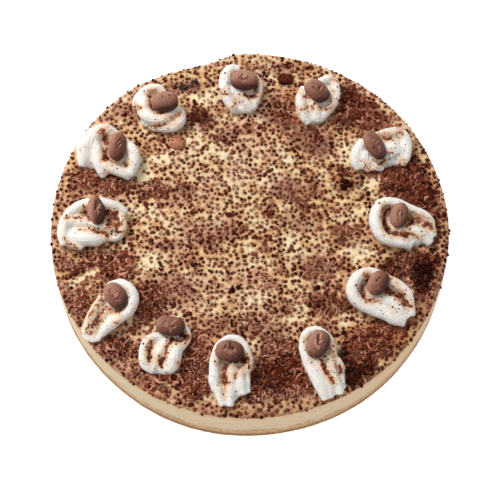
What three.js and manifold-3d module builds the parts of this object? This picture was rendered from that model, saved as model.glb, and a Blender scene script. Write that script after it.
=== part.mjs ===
// A whole mocha cake: a thin sponge base, a thick layer of coffee cream strewn with grated
// chocolate, and twelve piped swirls of whipped cream with a chocolate coffee bean pressed
// into each. Millimetres, +Z up, origin at the middle of the flat underside, front at -Y.
import * as THREE from "three";
import { mergeVertices } from "three/addons/utils/BufferGeometryUtils.js";
import Module from "manifold-3d";

const wasm = await Module();
wasm.setup();

// ---- Driving dimensions -------------------------------------------------------------
const CAKE_RADIUS = 130;
const CAKE_HEIGHT = 39;
const SPONGE_HEIGHT = 12.5;
const GAP = 0.3; // between pieces that rest on each other
const SURFACE = CAKE_HEIGHT + GAP; // where what lies on the cake begins
const RIM_SEGMENTS = 64;
const RIM_ROUNDING = 2.2; // of the cream's top edge
const FOOT_ROUNDING = 0.8; // of the sponge's lower edge
const SPONGE_INSET = 0.5; // the sponge ends a little inside the cream

// The back left of the rim is pressed in: a short slope on one side, a long one on the other.
const DENT = { depth: 5, peak: 104, slopeBefore: 12, slopeAfter: 28 };
// The rest of the rim is a little uneven: waves in the round, in mm, with their phase.
const WOBBLES = [
  { height: 0.35, count: 3, phase: 0.7 },
  { height: 0.2, count: 7, phase: 2.1 },
];

// A coffee bean of chocolate: how thick it is, and the furrow along its upper side, with its
// stations as shares of half the bean's length.
const BEAN = { thickness: 9.2, furrowRadius: 1.1, furrowSway: 1.2 };
const FURROW_STATIONS = [-0.8, -0.3, 0.3, 0.8];
const BEAN_FACETS = { around: 9, along: 6 };
const BEAN_SEAT = 12.8; // height of a bean's middle above the surface

// Each swirl's bean: its middle, its length and width, the way it points and how far it
// leans over, in degrees.
const BEANS = [
  { x: -86.7, y: 52.7, length: 20.3, width: 12.8, turn: 81, lean: 42 },
  { x: -56, y: 86, length: 17.5, width: 15.2, turn: 8, lean: -12 },
  { x: -3.5, y: 102, length: 18, width: 15.6, turn: -4, lean: -14 },
  { x: 45, y: 94, length: 18.8, width: 14.2, turn: -50, lean: -16 },
  { x: 82.2, y: 53.7, length: 22, width: 14.3, turn: -66, lean: -36 },
  { x: 97, y: 3.2, length: 17.5, width: 13, turn: 84, lean: -34 },
  { x: 82, y: -44, length: 17.5, width: 13, turn: 60, lean: -12 },
  { x: 43, y: -85.5, length: 18.8, width: 13.8, turn: 67, lean: -6 },
  { x: -12.6, y: -89.9, length: 17.6, width: 14, turn: -7, lean: -4 },
  { x: -50, y: -73.2, length: 18.6, width: 13.6, turn: -9, lean: -16 },
  { x: -85, y: -52.7, length: 19, width: 13, turn: -57, lean: 10 },
  { x: -99.1, y: 6.7, length: 19.8, width: 13.2, turn: 97, lean: 44 },
];

// What each swirl is piped from, as stations [x, y, height above the surface, radius]: the
// ropes that show, and the wide low cream that fills the hollows between them.
const SWIRLS = [
  {
    ropes: [
      [[-88, 63, 9, 3.5], [-94, 65.5, 11, 4.5], [-101, 63, 10, 6], [-107, 56, 8.5, 7],
        [-108.5, 49, 6, 5.8], [-109.5, 44, 3.5, 4]],
      [[-102, 55, 8.5, 5.5], [-99, 45, 7, 5], [-97, 38.5, 4.5, 3.8], [-96, 35.5, 2.5, 2.5]],
      [[-97, 43, 7, 4], [-89, 39, 7, 4], [-82, 36.5, 5.5, 3.5], [-79, 35, 3, 2.8]],
      [[-83, 58, 7, 4.5], [-77, 51.5, 7.5, 4.5], [-76, 43.5, 6, 4.5], [-78.5, 37, 4, 3.5]],
    ],
    fill: [
      [[-97, 61, 1, 9], [-90, 52, 1, 9], [-85, 44, 1, 7]],
      [[-80, 55, 1, 6.5], [-76, 47, 1, 6]],
      [[-106, 52, 1, 7], [-101, 47, 1, 7]],
    ],
  },
  {
    ropes: [
      [[-70, 88, 8, 5], [-70, 81.5, 8, 5], [-66, 76.5, 8, 5], [-60, 75, 8, 4.5],
        [-54, 77, 8, 4], [-50, 82, 7, 3.5], [-48.5, 85, 6, 2.8]],
      [[-57, 94.5, 9, 3], [-62, 97.5, 10, 3.5], [-69, 95, 9.5, 4], [-74, 90.5, 7, 4],
        [-76, 86.5, 4, 3]],
      [[-70, 77, 4, 3.5], [-66, 73, 4, 3.5], [-59, 71, 4, 3.5], [-51, 71.5, 4.5, 4.3],
        [-46, 75, 5, 4], [-45, 80, 5, 3], [-46.5, 84, 5, 2.4]],
    ],
    fill: [[[-64, 91, 1, 8], [-60, 83, 1, 8], [-53, 79, 1, 7]]],
  },
  {
    ropes: [
      [[-7, 112, 10, 3], [-13, 111, 10, 4], [-16, 105, 9, 4.5], [-16, 98, 7.5, 4.6],
        [-14, 92, 5.5, 4.5], [-11, 86, 4, 3.5], [-10.5, 82.5, 2, 2]],
      [[-9, 98, 8, 4], [-5, 93, 6.5, 4], [-1, 88.5, 5, 3.8], [1.5, 84.5, 3, 2.8]],
      [[4, 107, 9, 2.2], [7, 102, 8.5, 2.2], [6.5, 96, 7, 2.5], [4.5, 91, 5, 3],
        [2, 86, 3, 3]],
    ],
    fill: [
      [[-6, 106, 1, 8], [-4, 98, 1, 8.5], [-5, 90, 1, 6]],
      [[-10, 86.5, 1, 4], [1, 87, 1, 4]],
    ],
  },
  {
    ropes: [
      [[47, 102.5, 9, 3], [52, 104.5, 9, 3.5], [56.5, 103.5, 8, 3.5], [57.5, 97.5, 8, 3.5],
        [57, 91, 7.5, 3.5], [54, 85.5, 6, 3.5], [50, 81, 4.5, 3.5], [47, 77, 3, 2.5]],
      [[54, 104, 7, 3], [54.5, 108.5, 5, 1.6]],
      [[37, 97, 9, 4], [35, 91, 8.5, 4.5], [34.8, 84.5, 7, 4.2], [36.5, 79, 5, 3.8],
        [39.5, 74.5, 3, 2.6]],
      [[42, 91, 8, 4], [44, 85, 7, 4], [45.5, 79.5, 5, 3.5], [46, 76, 3, 2.4]],
    ],
    fill: [
      [[46, 98, 1, 9], [47, 90, 1, 9], [46, 83, 1, 6]],
      [[38, 79, 1, 4.5], [47, 80, 1, 4.5]],
    ],
  },
  {
    ropes: [
      [[83, 62.5, 8, 3], [90, 64, 9.5, 3.5], [97, 64.5, 9.5, 4], [102.5, 62, 8.5, 3.6],
        [104.5, 55, 7, 3.2], [103.5, 48, 5, 2.8], [101, 44, 3, 2.5]],
      [[75, 58, 8, 4], [71.5, 51.5, 7, 4.5], [70.5, 45.5, 5, 4.3], [72, 41.5, 3, 3.2]],
      [[77, 50, 7, 4.5], [76.5, 44.5, 5.5, 4], [79, 40, 3, 2.8]],
      [[82, 46.5, 6, 4], [84, 42.5, 4.5, 3.6], [88, 42, 3.5, 3]],
    ],
    fill: [
      [[88, 57, 5, 6.5], [94, 54, 4.5, 7.5], [99, 50, 3, 6], [98, 45, 2, 3.6]],
      [[80, 56, 1, 8], [85, 48, 1, 7]],
      [[90, 53, 1, 6.5], [93, 46.5, 1, 5.5]],
    ],
  },
  {
    ropes: [
      [[119, -7, 3, 3], [118.5, -0.5, 5.5, 3], [116, 4, 8, 3], [109, 7.5, 9.5, 3],
        [101, 10.5, 10.5, 3.3], [94, 13, 11, 3.6], [87, 12.5, 11, 4.2], [82.5, 6, 11, 4.6],
        [82, -2, 10.5, 4.6], [85.5, -9.5, 9, 4.2], [92, -12.5, 7.5, 3.8],
        [99, -13.5, 6, 3.6], [104.5, -14.5, 3.5, 3]],
      [[97, -5, 7, 4], [104, -4.5, 7.5, 4.3], [111, -7.5, 6.5, 4.2], [117, -12, 4, 3.5]],
    ],
    fill: [
      [[102, 5, 4, 5], [110, 2, 4, 4.5], [116, -3, 3, 4]],
      [[90, 4, 0.5, 7.5], [98, -4, 0.5, 8], [110, -8, 0.5, 6]],
    ],
  },
  {
    ropes: [
      [[103.5, -62, 3, 3], [103, -55, 6, 3], [100.5, -48.5, 8, 3.5], [95, -44, 9.5, 3.6],
        [88, -40, 10, 3.3], [81, -36.5, 10.5, 3.4], [74, -36.5, 11, 4], [68, -41, 11, 4.5],
        [65.5, -48, 10, 4.6], [69, -55, 8.5, 4.2], [76, -59, 7, 4], [84, -62, 6, 4],
        [92, -65.5, 4.5, 4], [98.5, -67.5, 2.5, 3]],
      [[83, -52, 7, 4], [90, -54.5, 7, 4.2], [96, -59.5, 5.5, 4.2], [99.5, -64.5, 3.5, 3.5]],
    ],
    fill: [[[73, -45, 0.5, 7.5], [80, -49, 0.5, 8.5], [89, -53, 0.5, 8.5], [97, -58, 0.5, 6.5]]],
  },
  {
    ropes: [
      [[53, -93, 6.5, 3.2], [52.5, -86, 9, 2.8], [49, -79.5, 10.5, 2.8], [43, -75.5, 11.5, 3],
        [36, -78, 11.5, 3.2], [34, -86, 10, 3.4], [37, -95, 8, 4], [41, -103, 6.5, 4.5],
        [45, -111.5, 5, 4.2], [48, -118, 2.5, 3]],
      [[42, -94, 8, 3.6], [46, -102, 6.5, 3.6], [49.5, -110, 4.5, 3.4], [50.5, -117, 2.5, 2.8]],
      [[49, -92, 8, 2.8], [51.5, -99, 7, 2.8], [55, -108, 5, 2.8], [58, -115, 2.5, 2.4]],
      [[55, -94, 5.5, 3.4], [58, -98, 4, 2.8], [60.5, -99.5, 2.5, 1.8]],
    ],
    fill: [
      [[43, -84, 0.5, 8.5], [49, -96, 0.5, 8.5], [54, -110, 0.5, 5]],
      [[56, -97, 0.5, 4.5], [57.5, -110, 0.5, 4]],
    ],
  },
  {
    ropes: [
      [[-2, -101, 5.5, 3], [0, -96.5, 8, 2.8], [-1, -90, 10, 2.8], [-5, -84, 11.5, 3],
        [-11, -81.5, 12, 3], [-18, -85, 11.5, 3.2], [-21.5, -92.5, 10, 3.4],
        [-22, -101, 8, 3.8], [-22, -108.5, 6, 3.8], [-19, -115.5, 4, 3.4],
        [-16.5, -122.5, 2.5, 2.8]],
      [[-11, -97, 8.5, 3], [-11.2, -106, 7, 3], [-12, -115, 4.5, 3], [-12, -123, 2.5, 2.6]],
      [[-6, -100, 6.5, 3.4], [-5.5, -108, 5.5, 3.6], [-3.8, -115.5, 3, 3]],
      [[-2, -103, 4, 3], [-1, -114.5, 2.5, 2.4]],
    ],
    fill: [[[-11, -88, 0.5, 9], [-11, -99, 0.5, 8.5], [-11, -111, 0.5, 7.5], [-14, -120, 0, 4.5]]],
  },
  {
    ropes: [
      [[-55, -79, 8, 3.2], [-61, -79.5, 8.5, 3.4], [-66, -84.5, 7.5, 3.4],
        [-67, -91, 6, 3.4], [-65.5, -96.5, 4.5, 3.4], [-60.5, -99.5, 3, 3]],
      [[-52, -81.5, 8.5, 3], [-56, -88, 7, 3], [-59, -94.5, 5, 3], [-59.5, -98.5, 3, 2.8]],
      [[-45, -84, 7.5, 4], [-47, -90, 7, 5], [-48.5, -96, 5, 5], [-51, -99.5, 3, 3.8]],
      [[-41, -72, 9.5, 2], [-38.5, -77, 9, 2], [-39.5, -82, 8, 2.2], [-43, -85.5, 7, 3]],
    ],
    fill: [
      [[-50, -76, 0.5, 9], [-56, -87, 0.5, 9], [-59, -94, 0.5, 7]],
      [[-62.5, -98, 1, 3.8], [-51, -98.5, 1, 4]],
    ],
  },
  {
    ropes: [
      [[-89.5, -45, 10, 3], [-83, -44, 11.5, 3.5], [-77, -47, 11.5, 4],
        [-74, -53.5, 10.5, 4.2], [-76.5, -61, 9, 4], [-83, -66.5, 7.5, 3.6],
        [-89.5, -71, 6, 3.8], [-94, -75, 3.5, 3.2]],
      [[-93, -52, 8.5, 3.4], [-98, -60, 8, 3.6], [-102, -67.5, 6.5, 3.6], [-104, -74, 4, 3.4]],
      [[-90, -61, 8, 2.6], [-94.5, -67.5, 7, 2.6], [-99, -74, 4.5, 2.6]],
      [[-86, -62, 7, 3], [-91, -69, 5.5, 3], [-95.5, -75.5, 3, 2.6]],
      [[-105, -75, 2.5, 2.8], [-100, -78, 2.5, 2.8], [-95, -77.5, 2.5, 2.8]],
    ],
    fill: [[[-84, -52, 0.5, 8.5], [-91, -60, 0.5, 8.5], [-97, -68, 0.5, 7.5], [-100, -74, 0, 5]]],
  },
  {
    ropes: [
      [[-81, 8.5, 5.5, 3.2], [-86, 11, 8, 3.6], [-93, 12.5, 10, 4], [-101, 13, 10.5, 4],
        [-109, 11, 10, 4.2], [-116, 6.5, 9, 4.3], [-120, 0, 7.5, 4.2], [-121, -7, 6, 4],
        [-119.5, -13, 4, 3.6]],
      [[-117, 2, 8, 3.5], [-110, 0.5, 9, 3.6], [-102, -1, 9, 3.6], [-95, -2, 8, 3.4],
        [-90, -4.5, 6.5, 3]],
      [[-113, -8, 5.5, 4.5], [-107, -9.5, 6, 5.5], [-100, -10.5, 5.5, 5],
        [-94.5, -9, 5, 3.6]],
      [[-116.5, -8, 5.5, 3], [-114, -13.5, 4, 3], [-108.5, -15, 3, 2.8]],
      [[-84, 8, 6, 3], [-82.5, 2, 6, 3], [-82.5, -4, 4.5, 3], [-86, -8, 3, 3],
        [-91, -8.5, 3.5, 3]],
    ],
    fill: [
      [[-113, 1, 0.5, 8], [-101, 3, 0.5, 9.5], [-89, 2, 0.5, 8]],
      [[-118, -6, 0.5, 5], [-114, -12, 0.5, 5]],
    ],
  },
];
const ROPE_SIDES = 6;
const FILL_SIDES = 5;
const FURROW_SIDES = 4;
// The blunt end of a strand: how far it reaches on, as a share of the radius, and how much
// narrower it gets.
const END = { reach: 0.6, narrowing: 0.45 };
// Soft cream rests on what lies below: a rope's lower half is drawn down to this many times
// its height above the surface, and goes back by a share of what it is drawn down.
const REST = { depth: 1.5, lean: 0.38 };

// Bits of chocolate as big as a bean, half sunk in the cream: place, diameters and direction.
const BITS = [
  { x: -48, y: 61.5, length: 11, width: 9, height: 8, turn: 20 },
  { x: 24.5, y: 109, length: 9.5, width: 7.4, height: 7, turn: -12 },
];

// Grated chocolate on the cream: the biggest shreds, half sunk, spread by the golden angle.
const SHRED = { count: 100, length: [3.4, 5.2], width: [2.0, 3.0], height: [1.9, 2.7] };
const SHRED_RIM_MARGIN = 4;
const SHRED_CLEARANCE = 0.6; // from a swirl or a bit
const SHRED_SWING = 0.2; // how far a shred strays from its golden angle, in radians
const SHRED_SEED = 12;
const GRAINS = [
  // the few that are clearly bigger: place and diameter
  { x: 62, y: 29, size: 4.8 },
  { x: 66, y: 31, size: 4.2 },
  { x: 63.5, y: 33, size: 4.4 },
  { x: -11, y: -44, size: 4.2 },
  { x: -7, y: -42, size: 3.6 },
  { x: 44, y: -42, size: 3.6 },
];

const FINISHES = {
  sponge: { color: 0xb98a55, roughness: 0.9 },
  coffeeCream: { color: 0xdcbf93, roughness: 0.6 },
  whippedCream: { color: 0xf3f0ea, roughness: 0.5 },
  chocolate: { color: 0x5a372b, roughness: 0.4 },
};

const MERGE_DISTANCE = 1e-3; // points closer than this are one
// A linear congruential generator's usual numbers.
const RANDOM = { factor: 1664525, step: 1013904223, span: 2 ** 32 };

// ---- Small helpers ------------------------------------------------------------------
const radians = THREE.MathUtils.degToRad;

/** A repeatable source of numbers from 0 to 1. */
function seededRandom(seed) {
  let state = seed;
  return () => {
    state = (state * RANDOM.factor + RANDOM.step) % RANDOM.span;
    return state / RANDOM.span;
  };
}

/** A closed geometry as a solid: only positions, with shared vertices merged. */
function solidFrom(geometry) {
  const bare = new THREE.BufferGeometry();
  bare.setAttribute("position", geometry.getAttribute("position"));
  if (geometry.index) bare.setIndex(geometry.index);
  const merged = mergeVertices(bare, MERGE_DISTANCE);
  return new wasm.Manifold(
    new wasm.Mesh({
      numProp: 3,
      vertProperties: merged.getAttribute("position").array,
      triVerts: new Uint32Array(merged.index.array),
    }),
  );
}

/** A solid as a geometry with flat faces. */
function geometryFrom(solid) {
  const mesh = solid.getMesh();
  const geometry = new THREE.BufferGeometry();
  geometry.setAttribute("position", new THREE.BufferAttribute(mesh.vertProperties, 3));
  geometry.setIndex(new THREE.BufferAttribute(mesh.triVerts, 1));
  return geometry.toNonIndexed();
}

function named(name, geometry, finish) {
  geometry.computeVertexNormals();
  const material = new THREE.MeshStandardMaterial({ ...finish, metalness: 0 });
  const mesh = new THREE.Mesh(geometry, material);
  mesh.name = name;
  return mesh;
}

/**
 * A closed skin over rings of points, each ring going anticlockwise seen from the end that
 * the rings move towards. The first and last ring are closed with a fan.
 */
function skin(rings) {
  const sides = rings[0].length;
  const points = rings.flat();
  const middle = (ring) =>
    ring.reduce((sum, p) => sum.add(p), new THREE.Vector3()).divideScalar(sides);
  const first = points.length;
  const last = first + 1;
  const faces = [];
  for (let r = 0; r + 1 < rings.length; r++) {
    for (let s = 0; s < sides; s++) {
      const a = r * sides + s;
      const b = r * sides + ((s + 1) % sides);
      faces.push(a, b, b + sides, a, b + sides, a + sides);
    }
  }
  const top = (rings.length - 1) * sides;
  for (let s = 0; s < sides; s++) {
    const next = (s + 1) % sides;
    faces.push(first, next, s, last, top + s, top + next);
  }
  points.push(middle(rings[0]), middle(rings.at(-1)));
  return new THREE.BufferGeometry().setFromPoints(points).setIndex(faces);
}

/**
 * A round strand through stations [x, y, z, radius], one ring at each, with blunt ends. Its
 * lower half may be drawn down, by a function of a ring's point, centre and radius.
 */
function strand(stations, sides, drawDown = (point) => point) {
  const centres = stations.map(([x, y, z]) => new THREE.Vector3(x, y, z));
  const rings = centres.map((centre, i) => {
    const before = centres[Math.max(0, i - 1)];
    const after = centres[Math.min(centres.length - 1, i + 1)];
    const forward = after.clone().sub(before).normalize();
    const sideways = new THREE.Vector3(-forward.y, forward.x, 0).normalize();
    const upwards = new THREE.Vector3().crossVectors(forward, sideways);
    return Array.from({ length: sides }, (_, s) => {
      const turn = (2 * Math.PI * (s + 0.5)) / sides;
      const point = centre.clone()
        .addScaledVector(sideways, stations[i][3] * Math.cos(turn))
        .addScaledVector(upwards, stations[i][3] * Math.sin(turn));
      return drawDown(point, centre, stations[i][3]);
    });
  });
  return skin([bluntEnd(rings[0], centres[0], centres[1]), ...rings,
    bluntEnd(rings.at(-1), centres.at(-1), centres.at(-2))]);
}

/** A smaller ring beyond the last one, to round a strand off. */
function bluntEnd(ring, centre, neighbour) {
  const radius = ring[0].distanceTo(centre);
  const outwards = centre.clone().sub(neighbour).setLength(radius * END.reach);
  return ring.map((p) => p.clone().lerp(centre, END.narrowing).add(outwards));
}

// ---- The round of the cake ----------------------------------------------------------
/** The cake's radius at an angle in degrees, with the pressed-in stretch at the back left. */
function rimRadius(angle) {
  const off = THREE.MathUtils.euclideanModulo(angle - DENT.peak + 180, 360) - 180;
  const reach = off < 0 ? DENT.slopeBefore : DENT.slopeAfter;
  const share = Math.max(0, 1 - Math.abs(off) / reach);
  const dent = DENT.depth * share * share * (3 - 2 * share);
  const wobble = WOBBLES.reduce(
    (sum, { height, count, phase }) => sum + height * Math.sin(count * radians(angle) + phase), 0);
  return CAKE_RADIUS + wobble - dent;
}

/** A layer of the cake from rings given as [height, distance inside the rim]. */
function layer(levels) {
  const rings = levels.map(([z, inset]) =>
    Array.from({ length: RIM_SEGMENTS }, (_, i) => {
      const angle = (360 * i) / RIM_SEGMENTS;
      const radius = rimRadius(angle) - inset;
      return new THREE.Vector3(
        radius * Math.cos(radians(angle)), radius * Math.sin(radians(angle)), z);
    }),
  );
  return skin(rings);
}

function spongeBase() {
  return layer([
    [0, SPONGE_INSET + FOOT_ROUNDING],
    [FOOT_ROUNDING, SPONGE_INSET],
    [SPONGE_HEIGHT, SPONGE_INSET],
  ]);
}

function creamBody() {
  const corner = RIM_ROUNDING * (1 - Math.SQRT1_2);
  return layer([
    [SPONGE_HEIGHT + GAP, 0],
    [CAKE_HEIGHT - RIM_ROUNDING, 0],
    [CAKE_HEIGHT - corner, corner],
    [CAKE_HEIGHT, RIM_ROUNDING],
  ]);
}

/** What lies below the surface, under everything on the cake, to cut it off flat. */
function underSurface() {
  const span = 3 * CAKE_RADIUS; // well beyond the rim
  const slab = new THREE.BoxGeometry(span, span, CAKE_HEIGHT);
  slab.translate(0, 0, SURFACE - CAKE_HEIGHT / 2);
  return solidFrom(slab);
}

// ---- A chocolate coffee bean --------------------------------------------------------
/** A bean's egg-like body, grown all round by extra, with its length along X. */
function beanBody({ length, width }, extra) {
  const geometry = new THREE.SphereGeometry(1, BEAN_FACETS.around, BEAN_FACETS.along);
  geometry.rotateZ(Math.PI / 2); // poles at the two ends
  geometry.scale(length / 2 + extra, width / 2 + extra, BEAN.thickness / 2 + extra);
  return geometry;
}

/** A bean with its swaying furrow cut into the upper side. */
function beanSolid(bean) {
  const furrow = FURROW_STATIONS.map((share) => [
    (share * bean.length) / 2,
    BEAN.furrowSway * Math.sin(share * Math.PI),
    (BEAN.thickness / 2) * Math.sqrt(1 - share * share),
    BEAN.furrowRadius,
  ]);
  return solidFrom(beanBody(bean, 0)).subtract(solidFrom(strand(furrow, FURROW_SIDES)));
}

/** Where a bean lies in the cake's frame. */
function beanPlace({ x, y, turn, lean }) {
  const spin = new THREE.Euler(radians(lean), 0, radians(turn), "ZYX");
  return new THREE.Matrix4()
    .makeRotationFromEuler(spin)
    .setPosition(x, y, SURFACE + BEAN_SEAT);
}

// ---- A piped swirl ------------------------------------------------------------------
/** Draws a point in a rope's lower half down, so that the rope rests on the surface. */
function rested(point, centre, radius) {
  const below = Math.max(0, centre.z - point.z);
  const stretch = Math.max(1, (REST.depth * (centre.z - SURFACE)) / radius);
  const drop = below * (stretch - 1);
  return point.add(new THREE.Vector3(0, REST.lean * drop, -drop));
}

/** A strand of a swirl, lifted from the surface to its place. */
function pipedStrand(stations, sides) {
  const lifted = stations.map(([x, y, z, r]) => [x, y, SURFACE + z, r]);
  return solidFrom(strand(lifted, sides, rested));
}

/** All strands of a swirl joined, cut off at the surface, with its bean's hollow. */
function swirlSolid({ ropes, fill }, bean) {
  const joined = [
    ...ropes.map((stations) => pipedStrand(stations, ROPE_SIDES)),
    ...fill.map((stations) => pipedStrand(stations, FILL_SIDES)),
  ].reduce((body, part) => body.add(part));
  const pocket = beanBody(bean, GAP).applyMatrix4(beanPlace(bean));
  const pieces = joined.subtract(underSurface()).subtract(solidFrom(pocket)).decompose();
  return pieces.sort((a, b) => b.volume() - a.volume())[0];
}

// ---- Loose chocolate ----------------------------------------------------------------
/** A rounded lump with its middle at a point. */
function lump(x, y, z, { length, width, height, turn }, detail) {
  const geometry = new THREE.IcosahedronGeometry(1, detail);
  geometry.scale(length / 2, width / 2, height / 2);
  geometry.rotateZ(radians(turn));
  geometry.translate(x, y, z);
  return solidFrom(geometry);
}

/** One of the two big bits, cut off flat where it lies. */
function bitSolid(bit) {
  return lump(bit.x, bit.y, SURFACE, bit, 1).subtract(underSurface());
}

/** True where a spot on the cake keeps its distance from everything that lies on it. */
function isClear(x, y, distance, geometries) {
  const spot = new THREE.Vector3(x, y, CAKE_HEIGHT);
  const triangle = new THREE.Triangle();
  const nearest = new THREE.Vector3();
  return geometries.every((geometry) => {
    const points = geometry.getAttribute("position");
    for (let i = 0; i < points.count; i += 3) {
      triangle.setFromAttributeAndIndices(points, i, i + 1, i + 2);
      if (triangle.closestPointToPoint(spot, nearest).distanceTo(spot) < distance) return false;
    }
    return true;
  });
}

/** The coffee cream with the largest shreds and grains of chocolate fused to its top. */
function toppedCream(onTop) {
  const random = seededRandom(SHRED_SEED);
  const between = ([low, high]) => low + (high - low) * random();
  const pieces = GRAINS.map(({ x, y, size }) =>
    lump(x, y, CAKE_HEIGHT, { length: size, width: size, height: size, turn: x }, 0));
  const goldenAngle = Math.PI * (3 - Math.sqrt(5));
  for (let i = 0; i < SHRED.count; i++) {
    const angle = i * goldenAngle + SHRED_SWING * random();
    const radius = (CAKE_RADIUS - SHRED_RIM_MARGIN) * Math.sqrt((i + random()) / SHRED.count);
    const x = radius * Math.cos(angle);
    const y = radius * Math.sin(angle);
    const shape = {
      length: between(SHRED.length),
      width: between(SHRED.width),
      height: between(SHRED.height),
      turn: 360 * random(),
    };
    const inside = radius < rimRadius(THREE.MathUtils.radToDeg(angle)) - SHRED_RIM_MARGIN;
    if (inside && isClear(x, y, shape.length / 2 + SHRED_CLEARANCE, onTop)) {
      pieces.push(lump(x, y, CAKE_HEIGHT, shape, 0));
    }
  }
  return pieces.reduce((body, piece) => body.add(piece), solidFrom(creamBody()));
}

// ---- The cake -----------------------------------------------------------------------
const swirls = SWIRLS.map((swirl, i) => geometryFrom(swirlSolid(swirl, BEANS[i])));
const bits = BITS.map((bit) => geometryFrom(bitSolid(bit)));
const cream = geometryFrom(toppedCream([...swirls, ...bits]));
const twoDigits = (i) => String(i + 1).padStart(2, "0");

const cake = new THREE.Group();
cake.add(named("sponge_base", spongeBase(), FINISHES.sponge));
cake.add(named("coffee_cream", cream, FINISHES.coffeeCream));
swirls.forEach((swirl, i) => {
  cake.add(named(`cream_swirl_${twoDigits(i)}`, swirl, FINISHES.whippedCream));
});
BEANS.forEach((bean, i) => {
  const geometry = geometryFrom(beanSolid(bean));
  const piece = named(`chocolate_bean_${twoDigits(i)}`, geometry, FINISHES.chocolate);
  piece.applyMatrix4(beanPlace(bean));
  cake.add(piece);
});
bits.forEach((bit, i) => {
  cake.add(named(`chocolate_bit_${twoDigits(i)}`, bit, FINISHES.chocolate));
});

export default cake;
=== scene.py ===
"""The looks of a mocha cake: sponge, coffee cream, grated chocolate, piped swirls and beans.

Lengths in the tables below are millimetres in the cake's own frame: +X to the right, +Y to
the back, +Z up, with the origin in the middle of the flat underside. Meshes are in metres.
"""
import itertools
import logging
import math
from dataclasses import dataclass
from enum import Enum
from typing import Any, Callable, Iterable, Sequence

import bmesh
import bpy
import numpy as np
from bpy.types import ColorRamp, Material, Mesh, Node, NodeSocket, NodeTree, Object
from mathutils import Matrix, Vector
from mathutils.bvhtree import BVHTree


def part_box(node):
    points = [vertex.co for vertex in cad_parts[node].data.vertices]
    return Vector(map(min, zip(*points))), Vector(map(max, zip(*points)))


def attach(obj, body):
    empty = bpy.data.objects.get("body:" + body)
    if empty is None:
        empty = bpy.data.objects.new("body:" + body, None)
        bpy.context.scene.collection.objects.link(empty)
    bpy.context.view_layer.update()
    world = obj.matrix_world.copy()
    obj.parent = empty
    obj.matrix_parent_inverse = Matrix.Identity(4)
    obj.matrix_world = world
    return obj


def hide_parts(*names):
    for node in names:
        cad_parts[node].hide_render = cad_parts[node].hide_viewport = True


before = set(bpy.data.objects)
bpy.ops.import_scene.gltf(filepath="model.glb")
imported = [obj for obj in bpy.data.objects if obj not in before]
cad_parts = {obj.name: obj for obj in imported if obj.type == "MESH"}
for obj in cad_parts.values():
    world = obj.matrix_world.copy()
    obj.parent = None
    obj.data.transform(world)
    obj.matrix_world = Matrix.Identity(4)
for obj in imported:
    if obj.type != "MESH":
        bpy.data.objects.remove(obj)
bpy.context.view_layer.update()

LOG = logging.getLogger("mocha_cake")

MM = 0.001
BODY = "root"
EVEN_CELL = 3.2
EVEN_DISORDER = 1.0
GRANULE_COVER = 0.28
Colour = tuple[float, float, float]
Station = tuple[float, float, float, float]


# ---- Sizes read off the frame -------------------------------------------------------
@dataclass(frozen=True)
class CakeSizes:
    """The cake's main sizes, read off its solids, in mm."""

    sponge_top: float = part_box("sponge_base")[1].z / MM
    cream_foot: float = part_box("coffee_cream")[0].z / MM
    top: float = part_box("cream_swirl_01")[0].z / MM
    radius: float = 130.0
    sponge_inset: float = 0.5
    dent_depth: float = 5.0
    dent_angle: float = 104.0
    dent_before: float = 12.0
    dent_after: float = 28.0
    waves: tuple[tuple[float, int, float], ...] = ((0.35, 3, 0.7), (0.2, 7, 2.1))

    def rim(self, angle: np.ndarray) -> np.ndarray:
        """The outline's radius, uneven and pressed in at the back left.

        Args:
            angle: Angles round the cake, in radians from +X.

        Returns:
            The radius at each angle, in mm.
        """
        degrees = np.degrees(angle)
        off = (degrees - self.dent_angle + 180) % 360 - 180
        reach = np.where(off < 0, self.dent_before, self.dent_after)
        share = np.clip(1 - np.abs(off) / reach, 0, 1)
        dent = self.dent_depth * share * share * (3 - 2 * share)
        wobble = sum(h * np.sin(n * angle + phase) for h, n, phase in self.waves)
        return self.radius + wobble - dent


CAKE = CakeSizes()


# ---- Numbers and meshes -------------------------------------------------------------
def lattice_noise(points: np.ndarray, cell: float, seed: int) -> np.ndarray:
    """Smooth noise with one swell to each cell of a lattice.

    Args:
        points: N points in two or three dimensions.
        cell: The lattice's step, in the points' unit.
        seed: Which noise.

    Returns:
        N values from -1 to 1.
    """
    at = points / cell
    base = np.floor(at).astype(np.int64)
    share = at - base
    share = share * share * (3 - 2 * share)
    total = np.zeros(len(points))
    primes = np.array([374761393, 668265263, 1442695041][: points.shape[1]], dtype=np.int64)
    for corner in itertools.product((0, 1), repeat=points.shape[1]):
        mixed = ((base + corner) * primes).sum(1) + seed * 974634777
        mixed &= 0xFFFFFFFF
        mixed = ((mixed ^ (mixed >> 13)) * 1274126177) & 0xFFFFFFFF
        mixed ^= mixed >> 16
        weight = np.where(np.array(corner) == 1, share, 1 - share).prod(1)
        total += weight * (mixed / 2**31 - 1)
    return total


def smooth_step(value: np.ndarray, low: float, high: float) -> np.ndarray:
    """0 below low, 1 above high and a soft passage between."""
    share = np.clip((value - low) / (high - low), 0, 1)
    return share * share * (3 - 2 * share)


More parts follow.
